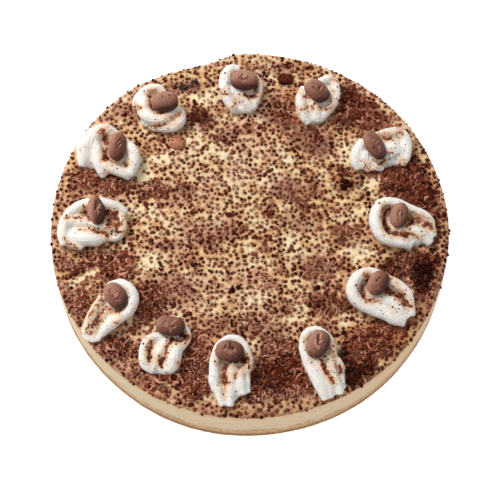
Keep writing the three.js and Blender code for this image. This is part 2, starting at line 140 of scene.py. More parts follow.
@dataclass(frozen=True)
class Sight:
    """Where the photograph was taken from, in mm and degrees."""

    elevation: float = 66.611
    distance: float = 1300.0
    aim_height: float = 19.435

    @property
    def place(self) -> np.ndarray:
        """The camera's place.

        Returns:
            Its x, y and z, in mm.
        """
        tilt = math.radians(self.elevation)
        return np.array([0, -self.distance * math.cos(tilt),
                         self.aim_height + self.distance * math.sin(tilt)])

    def on_level(self, points: np.ndarray, level: float) -> np.ndarray:
        """Where points seem to lie on a level plane, as the camera sees them.

        Args:
            points: N points, in mm.
            level: The plane's height, in mm.

        Returns:
            The N places' x and y.
        """
        share = (self.place[2] - level) / (self.place[2] - points[:, 2])
        return (self.place + (points - self.place) * share[:, None])[:, :2]


SIGHT = Sight()


@dataclass(frozen=True)
class Stroke:
    """A stroke as the photograph shows it: cocoa or painted shadow on a swirl; or on a bean, raised bars
    painted pale as highlights or dents painted dark as shade.
    """

    path: tuple[tuple[float, float], ...]
    reach: float
    amount: float
    softness: float = 1.5

    def share(self, seen: np.ndarray, spread: float = 0.0) -> np.ndarray:
        """How far each seen place belongs to the stroke, widened by spread, 0 to 1.

        Args:
            seen: N places, in mm, on the level where the path is given.
            spread: How much further the stroke reaches, in mm.

        Returns:
            N shares.
        """
        nearest = np.full(len(seen), np.inf)
        ends = self.path if len(self.path) > 1 else self.path * 2
        for start, end in zip(np.array(ends), np.array(ends[1:])):
            along = end - start
            off = seen - start
            place = np.clip(off @ along / max(along @ along, 1e-9), 0, 1)
            nearest = np.minimum(nearest, np.linalg.norm(off - place[:, None] * along, axis=1))
        return 1 - smooth_step(nearest / (self.reach + spread), 0.1, self.softness)


def strokes(*rows: tuple[Any, ...]) -> tuple[Stroke, ...]:
    """Strokes from rows of path, reach and amount."""
    return tuple(Stroke(*row) for row in rows)


def new_mesh(name: str, points_mm: np.ndarray, faces: Iterable[Sequence[int]]) -> Mesh:
    """A mesh from points in mm.

    Args:
        name: The mesh's name.
        points_mm: N points.
        faces: Each face's corners, anticlockwise from outside.

    Returns:
        The new mesh, in metres.
    """
    mesh = bpy.data.meshes.new(name)
    mesh.from_pydata((points_mm * MM).tolist(), [], list(faces))
    mesh.update()
    return mesh


def coordinates(mesh: Mesh) -> np.ndarray:
    """A mesh's points, in mm.

    Args:
        mesh: The mesh to read.

    Returns:
        One row of x, y and z for each point.
    """
    flat = np.empty(len(mesh.vertices) * 3, dtype=np.float32)
    mesh.vertices.foreach_get("co", flat)
    return flat.reshape(-1, 3).astype(float) / MM


def normals(mesh: Mesh) -> np.ndarray:
    """The outward direction at each of a mesh's points.

    Args:
        mesh: The mesh to read.

    Returns:
        One row of length 1 for each point.
    """
    flat = np.empty(len(mesh.vertices) * 3, dtype=np.float32)
    mesh.vertex_normals.foreach_get("vector", flat)
    return flat.reshape(-1, 3).astype(float)


def move_points(mesh: Mesh, points_mm: np.ndarray) -> None:
    """Puts a mesh's points at new places given in mm."""
    mesh.vertices.foreach_set("co", (points_mm * MM).astype(np.float32).ravel())
    mesh.update()


def store(mesh: Mesh, name: str, values: np.ndarray) -> None:
    """Keeps one number for each of a mesh's points under a name."""
    layer = mesh.attributes.new(name, "FLOAT", "POINT")
    layer.data.foreach_set("value", values.astype(np.float32))


def stored(mesh: Mesh, name: str) -> np.ndarray:
    """The numbers kept for a mesh's points under a name.

    Args:
        mesh: The mesh to read.
        name: What the numbers were stored as.

    Returns:
        One number for each point.
    """
    values = np.empty(len(mesh.vertices), dtype=np.float32)
    mesh.attributes[name].data.foreach_get("value", values)
    return values


def shade_smooth(mesh: Mesh) -> None:
    """Lets light run smoothly over a mesh's faces."""
    mesh.polygons.foreach_set("use_smooth", np.ones(len(mesh.polygons), dtype=bool))


def show(name: str, mesh: Mesh) -> Object:
    """Adds an object for a mesh, at the origin.

    Args:
        name: The object's name.
        mesh: Its mesh or curve.

    Returns:
        The object.
    """
    piece = bpy.data.objects.new(name, mesh)
    bpy.context.scene.collection.objects.link(piece)
    return piece


def settle(piece: Object, name: str) -> Mesh:
    """Works out an object's modifiers and takes the object away.

    Args:
        piece: An object with live modifiers.
        name: The new mesh's name.

    Returns:
        A plain mesh of what the object showed.
    """
    bpy.context.view_layer.update()
    seen = piece.evaluated_get(bpy.context.evaluated_depsgraph_get())
    mesh = bpy.data.meshes.new_from_object(seen)
    mesh.name = name
    bpy.data.objects.remove(piece)
    return mesh


def stack_faces(levels: int, corners: int) -> list[tuple[int, ...]]:
    """The faces of a stack of rings that one more point closes at each end.

    Args:
        levels: How many rings there are.
        corners: How many points each ring has.

    Returns:
        The faces, for points in order ring by ring, with the foot's end and then the top's.
    """
    low, high, last = levels * corners, levels * corners + 1, (levels - 1) * corners
    index = np.arange(corners)
    after = (index + 1) % corners
    faces = []
    for level in range(levels - 1):
        here, above = level * corners, (level + 1) * corners
        faces += zip(here + index, here + after, above + after, above + index)
    faces += [(low, b, a) for a, b in zip(index, after)]
    faces += [(high, last + a, last + b) for a, b in zip(index, after)]
    return faces


def ball_mesh(name: str, cuts: int, radius: float) -> Mesh:
    """A ball of triangles, the finer the more often its faces are cut.

    Args:
        name: The mesh's name.
        cuts: How finely the ball is divided.
        radius: The ball's radius, in metres.

    Returns:
        The new mesh.
    """
    mesh = bpy.data.meshes.new(name)
    work = bmesh.new()
    bmesh.ops.create_icosphere(work, subdivisions=cuts, radius=radius)
    work.to_mesh(mesh)
    work.free()
    return mesh


def round_skin(rings: np.ndarray) -> tuple[np.ndarray, list[tuple[int, ...]]]:
    """Closes a stack of rings round the cake's axis, from the foot up, into one skin.

    Args:
        rings: Levels x corners x 3; each level runs anticlockwise seen from above.

    Returns:
        The points, with one added at each end, and the faces.
    """
    ends = np.array([rings[0].mean(0), rings[-1].mean(0)])
    return np.vstack([rings.reshape(-1, 3), ends]), stack_faces(*rings.shape[:2])


def finish_piece(piece: Object, slot: str, *replaced: str) -> Object:
    """Lets a finished piece ride on the cake and says which solids it stands for.

    Args:
        piece: The piece, in place.
        slot: The name of the record's material slot for its finish, which only goes into the log.
        *replaced: The nodes that it replaces.

    Returns:
        The same piece.
    """
    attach(piece, BODY)
    if replaced:
        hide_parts(*replaced)
    faces = sum(len(polygon.vertices) - 2 for polygon in piece.data.polygons)
    LOG.info("%s: %d triangles, slot %s, replaces %s", piece.name, faces, slot, replaced or "nothing")
    return piece


# ---- Node trees ---------------------------------------------------------------------
class Nodes:
    """Writes a node tree: settings first, then the values or links of the sockets."""

    def __init__(self, tree: NodeTree) -> None:
        """Starts on a tree, which may hold nodes already."""
        self.tree = tree

    def add(self, kind: str, settings: dict[str, Any] | None = None,
            inputs: dict[str | int, Any] | None = None) -> Node:
        """Adds a node.

        Args:
            kind: The node's type.
            settings: What is set on the node itself; "stops" are a ramp's places and colours.
            inputs: Values, sockets or signals, by socket name, identifier or number.

        Returns:
            The new node.
        """
        node = self.tree.nodes.new(kind)
        for name, value in (settings or {}).items():
            if name == "stops":
                self._set_stops(node.color_ramp, value)
            else:
                setattr(node, name, value)
        for name, value in (inputs or {}).items():
            socket = self.socket(node, name)
            value = getattr(value, "socket", value)
            if isinstance(value, NodeSocket):
                self.tree.links.new(value, socket)
            else:
                socket.default_value = value
        return node

    def vector(self, operation: str, first: Any, second: Any) -> NodeSocket:
        """Adds one Vector Math node.

        Args:
            operation: What the node does.
            first: The first vector.
            second: The second vector, or the factor of SCALE.

        Returns:
            The result.
        """
        other = "Scale" if operation == "SCALE" else 1
        return self.add("ShaderNodeVectorMath", {"operation": operation},
                        {0: first, other: second}).outputs[0]

    def named(self, name: Any) -> NodeSocket:
        """A number stored on a geometry, by its name."""
        return self.add("GeometryNodeInputNamedAttribute", {"data_type": "FLOAT"},
                        {"Name": name}).outputs["Attribute"]

    def keep(self, geometry: NodeSocket, name: Any, value: Any, domain: str = "POINT") -> NodeSocket:
        """Stores a number on a geometry under a name."""
        return self.add("GeometryNodeStoreNamedAttribute", {"data_type": "FLOAT", "domain": domain},
                        {"Geometry": geometry, "Name": name, "Value": value}).outputs[0]

    def placed(self, geometry: NodeSocket, **where: Any) -> NodeSocket:
        """Moves a geometry's points by an Offset or to a Position."""
        return self.add("GeometryNodeSetPosition", None, {"Geometry": geometry, **where}).outputs[0]

    @staticmethod
    def socket(node: Node, name: str | int) -> NodeSocket:
        """A node's input, found by number, identifier or name among those in use.

        Args:
            node: The node.
            name: The input's number, identifier or name.

        Returns:
            The input.
        """
        if isinstance(name, int):
            return node.inputs[name]
        by_identifier = [s for s in node.inputs if s.identifier == name and s.enabled]
        by_name = [s for s in node.inputs if s.name == name and s.enabled]
        return (by_identifier + by_name)[0]

    @staticmethod
    def _set_stops(ramp: ColorRamp, stops: Sequence[tuple[float, Colour]]) -> None:
        """Gives a ramp its stops.

        Args:
            ramp: The ramp.
            stops: Places from 0 to 1, each with its colour.
        """
        while len(ramp.elements) < len(stops):
            ramp.elements.new(0.5)
        for element, (place, colour) in zip(ramp.elements, stops):
            element.position = place
            element.color = (*colour, 1.0)

    def value(self, node: Node, output: str | int = 0) -> "Signal":
        """A node's output as a signal."""
        return Signal(self, node.outputs[output])


class Signal:
    """A number that varies over a surface; working with it adds Math nodes."""

    def __init__(self, nodes: Nodes, socket: NodeSocket) -> None:
        """Wraps a socket."""
        self.nodes = nodes
        self.socket = socket

    def _math(self, operation: str, first: Any, second: Any = 0.0) -> "Signal":
        """Adds one Math node."""
        node = self.nodes.add("ShaderNodeMath", {"operation": operation}, {0: first, 1: second})
        return Signal(self.nodes, node.outputs[0])

    def __add__(self, other: Any) -> "Signal":
        """self + other."""
        return self._math("ADD", self, other)

    __radd__ = __add__

    def __sub__(self, other: Any) -> "Signal":
        """self - other."""
        return self._math("SUBTRACT", self, other)

    def __rsub__(self, other: Any) -> "Signal":
        """other - self."""
        return self._math("SUBTRACT", other, self)

    def __mul__(self, other: Any) -> "Signal":
        """self * other."""
        return self._math("MULTIPLY", self, other)

    __rmul__ = __mul__

    def __pow__(self, other: Any) -> "Signal":
        """self ** other."""
        return self._math("POWER", self, other)

    def above(self, other: Any) -> "Signal":
        """1 where self is greater than other, or else 0."""
        return self._math("GREATER_THAN", self, other)

    def between(self, low: float, high: float) -> "Signal":
        """0 below low, 1 above high and a soft passage between.

        Args:
            low: Where the passage starts.
            high: Where it ends.

        Returns:
            The share, 0 to 1.
        """
        node = self.nodes.add("ShaderNodeMapRange", {"interpolation_type": "SMOOTHSTEP"},
                              {"Value": self, "From Min": low, "From Max": high})
        return Signal(self.nodes, node.outputs[0])


class Shader(Nodes):
    """One material's tree, with the patterns that this cake's finishes share."""

    def __init__(self, name: str) -> None:
        """Starts a material with a Principled shader.

        Args:
            name: The material's name.
        """
        self.material = bpy.data.materials.new(name)
        self.material.use_nodes = True
        super().__init__(self.material.node_tree)
        self.principled = self.tree.nodes["Principled BSDF"]
        self.place = self.add("ShaderNodeTexCoord").outputs["Object"]

    def constants(self, **values: Any) -> None:
        """Sets sockets that are the same all over, such as Specular_IOR_Level."""
        for name, value in values.items():
            self.principled.inputs[name.replace("_", " ")].default_value = value

    def feed(self, name: str, value: Any) -> None:
        """Lets a socket of the Principled shader vary."""
        self.tree.links.new(getattr(value, "socket", value), self.principled.inputs[name])

    def noise(self, size_mm: float, detail: float = 2.0, stretch: Colour = (1, 1, 1)) -> Signal:
        """Noise with swells of about a size, stretched along the axes if asked.

        Args:
            size_mm: The size of the swells.
            detail: How fine the noise gets.
            stretch: How many times longer the swells are along each axis.

        Returns:
            The noise.
        """
        scaled = self.vector("MULTIPLY", self.place, tuple(1 / factor for factor in stretch))
        node = self.add("ShaderNodeTexNoise", None,
                        {"Vector": scaled, "Scale": 1 / (size_mm * MM), "Detail": detail})
        return self.value(node)

    def lattice(self, cell_mm: float, dimensions: str) -> tuple[Signal, Signal]:
        """How far the nearest of many uneven places is, in cells, and that place's chance.

        Args:
            cell_mm: How far apart the places are.
            dimensions: 2D as seen from above, or 3D.

        Returns:
            The distance and the chance.
        """
        node = self.add("ShaderNodeTexVoronoi", {"voronoi_dimensions": dimensions},
                        {"Vector": self.place, "Scale": 1 / (cell_mm * MM),
                         "Randomness": EVEN_DISORDER})
        chance = self.add("ShaderNodeSeparateColor", None, {0: node.outputs["Color"]})
        return self.value(node, "Distance"), self.value(chance)

    def ridged(self, size_mm: float, width: float) -> Signal:
        """1 along the borders of cells of about a size, seen from above, and 0 inside them.

        Args:
            size_mm: The size of the cells.
            width: How wide the borders are.

        Returns:
            The share, 0 to 1.
        """
        node = self.add("ShaderNodeTexVoronoi",
                        {"voronoi_dimensions": "2D", "feature": "DISTANCE_TO_EDGE"},
                        {"Vector": self.place, "Scale": 1 / (size_mm * MM)})
        return 1 - self.value(node, "Distance").between(0.3 * width, 2 * width)

    def along(self, axis: str) -> Signal:
        """The place along one of the cake's axes, in mm."""
        node = self.add("ShaderNodeSeparateXYZ", None, {0: self.place})
        return self.value(node, axis) * (1 / MM)

    def attribute(self, name: str) -> Signal:
        """A number stored on the piece's points."""
        node = self.add("ShaderNodeAttribute", {"attribute_name": name})
        return self.value(node, "Fac")

    def mix(self, share: Any, first: Any, second: Any) -> NodeSocket:
        """A colour between two colours.

        Args:
            share: 0 for the first, 1 for the second.
            first: A colour or a socket.
            second: A colour or a socket.

        Returns:
            The mixed colour's socket.
        """
        node = self.add("ShaderNodeMix", {"data_type": "RGBA"}, {"Factor_Float": share})
        for identifier, colour in (("A_Color", first), ("B_Color", second)):
            socket = self.socket(node, identifier)
            if isinstance(colour, NodeSocket):
                self.tree.links.new(colour, socket)
            else:
                socket.default_value = (*colour, 1.0)
        return next(s for s in node.outputs if s.identifier == "Result_Color")

    def ramp(self, share: Signal, stops: Sequence[tuple[float, Colour]]) -> NodeSocket:
        """A colour looked up on a ramp."""
        return self.add("ShaderNodeValToRGB", {"stops": stops}, {"Fac": share}).outputs["Color"]

    def bump(self, height: Signal, depth_mm: float) -> None:
        """Lets a height pattern catch the light."""
        node = self.add("ShaderNodeBump", None, {"Height": height, "Distance": depth_mm * MM})
        self.feed("Normal", node.outputs["Normal"])


def srgb(red: int, green: int, blue: int) -> Colour:
    """A colour as a screen shows it, 0 to 255, as the linear numbers that shaders take.

    Args:
        red: Red, 0 to 255.
        green: Green, 0 to 255.
        blue: Blue, 0 to 255.

    Returns:
        The linear colour.
    """
    def linear(value: float) -> float:
        """One channel's linear share, 0 to 1."""
        share = value / 255
        return share / 12.92 if share <= 0.04045 else ((share + 0.055) / 1.055) ** 2.4
    return linear(red), linear(green), linear(blue)


# ---- Finishes -----------------------------------------------------------------------
@dataclass(frozen=True)
class SpongeFinish:
    """Light brown sponge with pores, a baked crust low down and a skin along the top."""

    crumb: Colour = srgb(222, 188, 146)
    pore: Colour = srgb(190, 146, 100)
    crust: Colour = srgb(140, 96, 56)
    crust_low: float = 1.6
    crust_high: float = 6.4

    def build(self) -> Material:
        """Makes the material.

        Returns:
            The material.
        """
        shader = Shader("sponge")
        height = shader.along("Z")
        pores = shader.noise(1.1, 3.0).between(0.42, 0.62)
        colour = shader.mix(pores, self.pore, self.crumb)
        waver = (shader.noise(7.0) - 0.5) * 2.2
        band = ((height + waver).between(self.crust_low - 1.2, self.crust_low + 0.6)
                * (1 - (height + waver).between(self.crust_high - 1.6, self.crust_high + 1.0)))
        grain = shader.noise(0.9, 2.0).between(0.3, 0.62)
        colour = shader.mix(band * (0.45 + grain * 0.5), colour, self.crust)
        line = (height + waver * 0.4).between(CAKE.sponge_top - 1.4, CAKE.sponge_top - 0.4)
        colour = shader.mix(line * 0.5, colour, self.crust)
        shader.feed("Base Color", colour)
        shader.constants(Roughness=0.85, Specular_IOR_Level=0.3)
        shader.bump(shader.noise(0.8, 3.0), 0.4)
        return shader.material


@dataclass(frozen=True)
class CoffeeCreamFinish:
    """Pale cream on top, browned round each granule and where chocolate lies thick, with near-black painted
    shadow in patches.
    """

    pale: Colour = srgb(240, 220, 178)
    pinkish: Colour = srgb(212, 160, 124)
    yellowish: Colour = srgb(218, 170, 112)
    veil: Colour = srgb(160, 100, 74)
    halo: Colour = srgb(128, 68, 44)
    covered: Colour = srgb(104, 52, 36)
    net: Colour = srgb(178, 122, 98)
    stain: Colour = srgb(204, 112, 58)
    bloom: Colour = srgb(134, 88, 74)
    # painted shadow: near black, where shadows fall beside the swirls and beans
    gloom: Colour = srgb(38, 17, 11)
    wall: Colour = srgb(218, 194, 158)
    wall_warm: Colour = srgb(214, 174, 126)
    smear: Colour = srgb(176, 130, 88)
    seam: Colour = srgb(112, 66, 34)
    edge: Colour = srgb(232, 196, 148)

    def build(self) -> Material:
        """Makes the material.

        Returns:
            The material.
        """
        shader = Shader("coffee_cream")
        strewn = shader.attribute("strewn")
        patches = shader.noise(6.0, 3.0) - 0.5
        fine = shader.noise(1.2, 3.0)
        tan = shader.mix(shader.noise(26.0, 1.0).between(0.4, 0.6), self.yellowish, self.pinkish)
        dust = (strewn + patches * 0.9).between(0.05, 0.6)
        colour = shader.mix(dust, self.pale, tan)
        colour = shader.mix(fine.between(0.48, 0.66) * 0.75, colour, self.pale)
        veiled = (shader.noise(3.2, 3.0) + (strewn - 0.46) * 0.9 + patches * 0.5).between(0.42, 0.8)
        colour = shader.mix(veiled * 0.6, colour, self.veil)
        bloomed = shader.attribute("bloomed") * (shader.noise(3.0, 3.0) + 0.2).between(0.25, 0.8)
        colour = shader.mix(bloomed, colour, self.bloom)
        off, chance = shader.lattice(EVEN_CELL, "2D")
        present = (strewn.between(0.0, GRANULE_COVER) - chance).between(-0.15, 0.1)
        browned = (1 - off.between(0.15, 0.9) + (fine - 0.5) * 1.3).between(0.32, 0.85)
        colour = shader.mix(browned * present * (1.0 - chance * 0.6), colour, self.halo)
        rims = shader.ridged(2.6, 0.07) * shader.noise(2.0, 2.0).between(0.35, 0.6)
        covered = shader.mix(rims, self.covered, self.net)
        colour = shader.mix((strewn + patches * 0.4).between(0.55, 0.85), colour, covered)
        colour = shader.mix(shader.attribute("stain") * (0.35 + fine * 0.6), colour, self.stain)
        # Painted shadow in patches, mostly to the lower right of the swirls.
        colour = shader.mix(shader.attribute("gloom").between(0.0, 1.0), colour, self.gloom)
        colour = shader.mix(shader.attribute("wall"), colour, self._wall(shader))
        shader.feed("Base Color", colour)
        shader.constants(Roughness=0.6, Specular_IOR_Level=0.25)
        shader.bump(shader.noise(1.6, 3.0), 0.35)
        return shader.material

    def _wall(self, shader: Shader) -> NodeSocket:
        """The smoothed side: warmer near the top, warmer and darker towards the right as painted shade, and
        streaked with brown near the sponge.

        Args:
            shader: The cream's shader.

        Returns:
            The wall's colour.
        """
        height = shader.along("Z")
        streaks = shader.noise(9.0, 3.0, (1, 1, 0.16))
        # Painted shade: the wall is warmer and darker towards the right, away from the light; the dark seam
        # also shows more there.
        right = shader.along("X").between(40.0, 125.0)
        warm = (streaks + height.between(30.0, 38.0) * 0.35 + right * 0.25 - 0.1).between(0.35, 0.75)
        colour = shader.mix(warm, self.wall, self.wall_warm)
        low = 1 - (height + (shader.noise(12.0) - 0.5) * 5.0).between(13.4, 15.6)
        smeared = shader.noise(12.0, 3.0, (1, 1, 0.1)).between(0.52, 0.7) * (1 - height.between(16.0, 26.0))
        colour = shader.mix(smeared * 0.4, colour, self.smear)
        colour = shader.mix(low * shader.noise(5.0, 2.0).between(0.35, 0.6) * 0.95, colour, self.smear)
        wandering = height + (shader.noise(9.0) - 0.5) * 4.0
        seam = wandering.between(13.2, 14.0) * (1 - wandering.between(14.6, 15.8))
        broken = shader.noise(14.0, 3.0, (1, 1, 0.3)).between(0.4, 0.6) * (0.25 + right * 0.75)
        colour = shader.mix(seam * broken * 0.9, colour, self.seam)
        edge = (height + (shader.noise(4.0, 2.0) - 0.5) * 3.0).between(35.4, 36.8)
        return shader.mix(edge * 0.6, colour, self.edge)


@dataclass(frozen=True)
class WhippedCreamFinish:
    """White whipped cream, dusted with cocoa in its hollows, with painted warm shade in its hollows and
    painted shadow beside some beans.
    """

    cream: Colour = srgb(238, 234, 227)
    # peach: partly a real tint beside the cocoa, partly painted warm shade in the hollows
    peach_and_warm_shade: Colour = srgb(235, 198, 162)
    tan: Colour = srgb(206, 146, 102)
    cocoa: Colour = srgb(146, 80, 52)
    # the darkest cocoa, and painted shadow where the strokes by the beans are strong
    deep_cocoa_and_shadow: Colour = srgb(80, 34, 22)
    speck: Colour = srgb(72, 46, 34)
    speck_cell: float = 1.3

    def build(self) -> Material:
        """Makes the material.

        Returns:
            The material.
        """
        shader = Shader("whipped_cream")
        cocoa = shader.attribute("cocoa")
        mottled = shader.noise(2.4, 3.0).between(0.32, 0.68)
        grain = shader.noise(0.8, 2.0).between(0.36, 0.64)
        # The peach tint is partly the cocoa's fringe and partly painted warm shade in the hollows.
        tinted = shader.attribute("tinted").between(0.1, 0.95) * (0.4 + mottled * 0.6)
        colour = shader.mix(tinted, self.cream, self.peach_and_warm_shade)
        colour = shader.mix((cocoa * (0.45 + mottled * 0.6)).between(0.15, 0.75), colour, self.tan)
        dust = cocoa * (0.4 + grain * 0.4 + mottled * 0.5)
        # The strongest strokes, among them painted shadows by the beans, get the darkest colours.
        colour = shader.mix(dust.between(0.45, 0.8), colour, self.cocoa)
        colour = shader.mix(dust.between(0.8, 1.15), colour, self.deep_cocoa_and_shadow)
        off, chance = shader.lattice(self.speck_cell, "3D")
        specked = (1 - off.between(0.12, 0.3)) * (shader.attribute("specked") - chance).between(0.0, 0.15)
        colour = shader.mix(specked * 0.85, colour, self.speck)
        shader.feed("Base Color", colour)
        shader.constants(Roughness=0.5, Specular_IOR_Level=0.25, Subsurface_Weight=0.3,
                         Subsurface_Scale=0.002)
        shader.bump(shader.noise(1.2, 3.0), 0.15)
        return shader.material


@dataclass(frozen=True)
class BeanFinish:
    """Milk chocolate with painted light: paler on its upper side and darker below, with raised bars painted
    pale as highlights and dents painted dark as shade.
    """

    # The first and third colours are the painted lit and shaded sides; the last two are painted shade in
    # dents and painted highlights on bars.
    bloom: Colour = srgb(170, 124, 104)
    chocolate: Colour = srgb(126, 79, 63)
    shaded: Colour = srgb(78, 44, 34)
    pit: Colour = srgb(66, 22, 14)
    bar: Colour = srgb(206, 152, 134)

    def build(self) -> Material:
        """Makes the material.

        Returns:
            The material.
        """
        shader = Shader("chocolate")
        # Painted light: paler towards the light and darker away from it, broken by real mottling.
        bloom = (shader.attribute("bloom") + (shader.noise(4.0, 3.0) - 0.5) * 0.35
                 + (shader.noise(0.9, 2.0) - 0.5) * 0.9)
        colour = shader.mix(bloom.between(0.0, 0.5), self.shaded, self.chocolate)
        colour = shader.mix(bloom.between(0.45, 1.0), colour, self.bloom)
        # Painted shade in the dents and painted highlights on the raised bars.
        colour = shader.mix(shader.attribute("pit") * 0.9, colour, self.pit)
        colour = shader.mix(shader.attribute("bar") * 0.85, colour, self.bar)
        shader.feed("Base Color", colour)
        shader.constants(Roughness=0.5, Specular_IOR_Level=0.2)
        shader.bump(shader.noise(1.1, 3.0), 0.7)
        return shader.material


@dataclass(frozen=True)
class GratedFinish:
    """Grated chocolate: each piece has a tone of its own, from nearly black to milky."""

    tones: tuple[tuple[float, Colour], ...] = (
        (0.0, srgb(46, 14, 5)),
        (0.35, srgb(92, 38, 22)),
        (0.7, srgb(148, 83, 58)),
        (1.0, srgb(213, 155, 128)),
    )

    def build(self) -> Material:
        """Makes the material.

        Returns:
            The material.
        """
        shader = Shader("grated_chocolate")
        tone = (shader.attribute("tint") + (shader.noise(1.2, 2.0) - 0.5) * 0.3
                + (shader.noise(16.0, 1.0) - 0.5) * 0.6)
        shader.feed("Base Color", shader.ramp(tone, self.tones))
        shader.constants(Roughness=0.7, Specular_IOR_Level=0.06)
        shader.bump(shader.noise(0.6, 2.0), 0.1)
        return shader.material


@dataclass(frozen=True)
class FloorFinish:
    """Plain white floor."""

    colour: Colour = (0.3, 0.3, 0.3)
    glow: float = 1.0

    def build(self) -> Material:
        """Makes the material.

        Returns:
            The material.
        """
        shader = Shader("floor")
        shader.constants(Base_Color=(*self.colour, 1.0), Roughness=0.9, Specular_IOR_Level=0.0,
                         Emission_Color=(1.0, 1.0, 1.0, 1.0), Emission_Strength=self.glow)
        return shader.material


# ---- Sponge and coffee cream --------------------------------------------------------
@dataclass
class SpongeBase:
    """The thin sponge that the cake stands on."""

    corners: int = 720
    foot_rounding: float = 0.8
    crumb_depth: float = 0.28

    def build(self, finish: Material) -> Object:
        """Makes the sponge, with its wall broken up by crumbs.

        Args:
            finish: The sponge's material.

        Returns:
            The finished piece.
        """
        angle = np.linspace(0, 2 * math.pi, self.corners, endpoint=False)
        heights = np.concatenate([[0.0], np.linspace(self.foot_rounding, CAKE.sponge_top, 22)])
        rings = np.empty((len(heights), self.corners, 3))
        for level, z in enumerate(heights):
            radius = CAKE.rim(angle) - CAKE.sponge_inset
            if z == 0:
                radius = radius - self.foot_rounding
            rings[level] = np.stack(
                [radius * np.cos(angle), radius * np.sin(angle), np.full_like(angle, z)], 1)
        inner = rings[1:-1].reshape(-1, 3)
        crumbs = 0.6 * lattice_noise(inner, 1.3, 3) + 0.4 * lattice_noise(inner, 3.2, 4)
        outwards = inner[:, :2] / np.linalg.norm(inner[:, :2], axis=1, keepdims=True)
        inner[:, :2] += outwards * (self.crumb_depth * crumbs - 0.1)[:, None]
        rings[1:-1] = inner.reshape(rings[1:-1].shape)
        points, faces = round_skin(rings)
        mesh = new_mesh("sponge", points, faces)
        mesh.materials.append(finish)
        shade_smooth(mesh)
        return finish_piece(show("sponge", mesh), "sponge", "sponge_base")


@dataclass(frozen=True)
class Patch:
    """A stretch of the top where more or less chocolate lies than elsewhere, in mm."""

    x: float
    y: float
    reach_x: float
    reach_y: float
    cover: float

    def share(self, x: np.ndarray, y: np.ndarray) -> np.ndarray:
        """How far each place belongs to the patch, 0 to 1."""
        off = np.hypot((x - self.x) / self.reach_x, (y - self.y) / self.reach_y)
        return 1 - smooth_step(off, 0.55, 1.35)


def patches(*rows: tuple[float, float, float, float, float]) -> tuple[Patch, ...]:
    """Patches from rows of x, y, reach along x, reach along y and cover."""
    return tuple(Patch(*row) for row in rows)


DRIFTS = patches(
    (24, 84, 14, 16, 0.64), (43, 64, 13, 12, 0.66), (78, 84, 22, 12, 0.82), (64, 100, 9, 8, 1.0),
    (104, 34, 18, 22, 0.92), (120, 12, 8, 24, 0.95), (106, -26, 22, 10, 0.95), (116, -44, 10, 18, 0.9),
    (88, -78, 24, 13, 0.82), (68, -94, 11, 20, 1.0), (18, -88, 18, 10, 0.82), (16, -108, 22, 11, 0.88),
    (-34, -88, 10, 20, 0.95), (-62, -108, 26, 10, 0.92), (-32, -112, 12, 9, 0.95),
    (-66, -54, 14, 12, 0.95), (-94, -28, 26, 12, 0.92), (-114, -52, 10, 17, 0.9),
    (-88, -86, 20, 9, 0.86), (-98, 33, 20, 9, 0.88), (-64, 24, 14, 6, 0.7), (-38, 80, 10, 7, 0.85),
    (58, -4, 10, 8, 0.68), (46, -28, 12, 8, 0.6), (34, 26, 18, 12, 0.66), (44, -70, 12, 8, 0.66),
    (-32, -10, 24, 10, 0.6), (50, -52, 14, 9, 0.78), (0, -70, 38, 8, 0.6), (-46, -46, 14, 9, 0.66),
    (20, 104, 8, 8, 0.56), (-80, 78, 12, 8, 0.55), (-110, 0, 14, 20, 0.6), (-46, 103, 12, 5, 0.6),
    (-30, 76, 5, 8, 0.8), (-66, 30, 8, 6, 0.75), (-20, 64, 4, 4, 0.8),
)
CLEARINGS = patches(
    (-70, 38, 9, 6, 0.12), (-57, 50, 10, 6, 0.04), (-30, 95, 13, 6, 0.14), (-35, 66, 8, 9, 0.22),
    (-20, 55, 8, 6, 0.2), (-30, 36, 9, 6, 0.25), (26, 52, 4, 6, 0.16), (5, 80, 6, 4, 0.16),
    (17, 116, 4, 7, 0.15), (64, 56, 8, 10, 0.2), (80, 31, 7, 6, 0.14), (72, 12, 7, 5, 0.16),
    (28, -15, 8, 10, 0.24), (68, -18, 14, 5, 0.16), (5, -49, 14, 4, 0.22), (-66, -24, 8, 7, 0.12),
    (-66, 12, 8, 6, 0.2), (-106, -32, 7, 4, 0.12), (-114, -37, 7, 4, 0.12), (-24, -117, 5, 5, 0.2),
    (-50, -112, 2.5, 8, 0.35), (5, -84, 4, 6, 0.25), (28, -66, 4, 7, 0.25), (8, 4, 12, 6, 0.3),
    (-8, 30, 10, 10, 0.32), (-48, -62, 4, 6, 0.35), (12, -122, 22, 4, 0.45), (62, -62, 5, 5, 0.3),
    (-40, 46, 12, 8, 0.34),
)
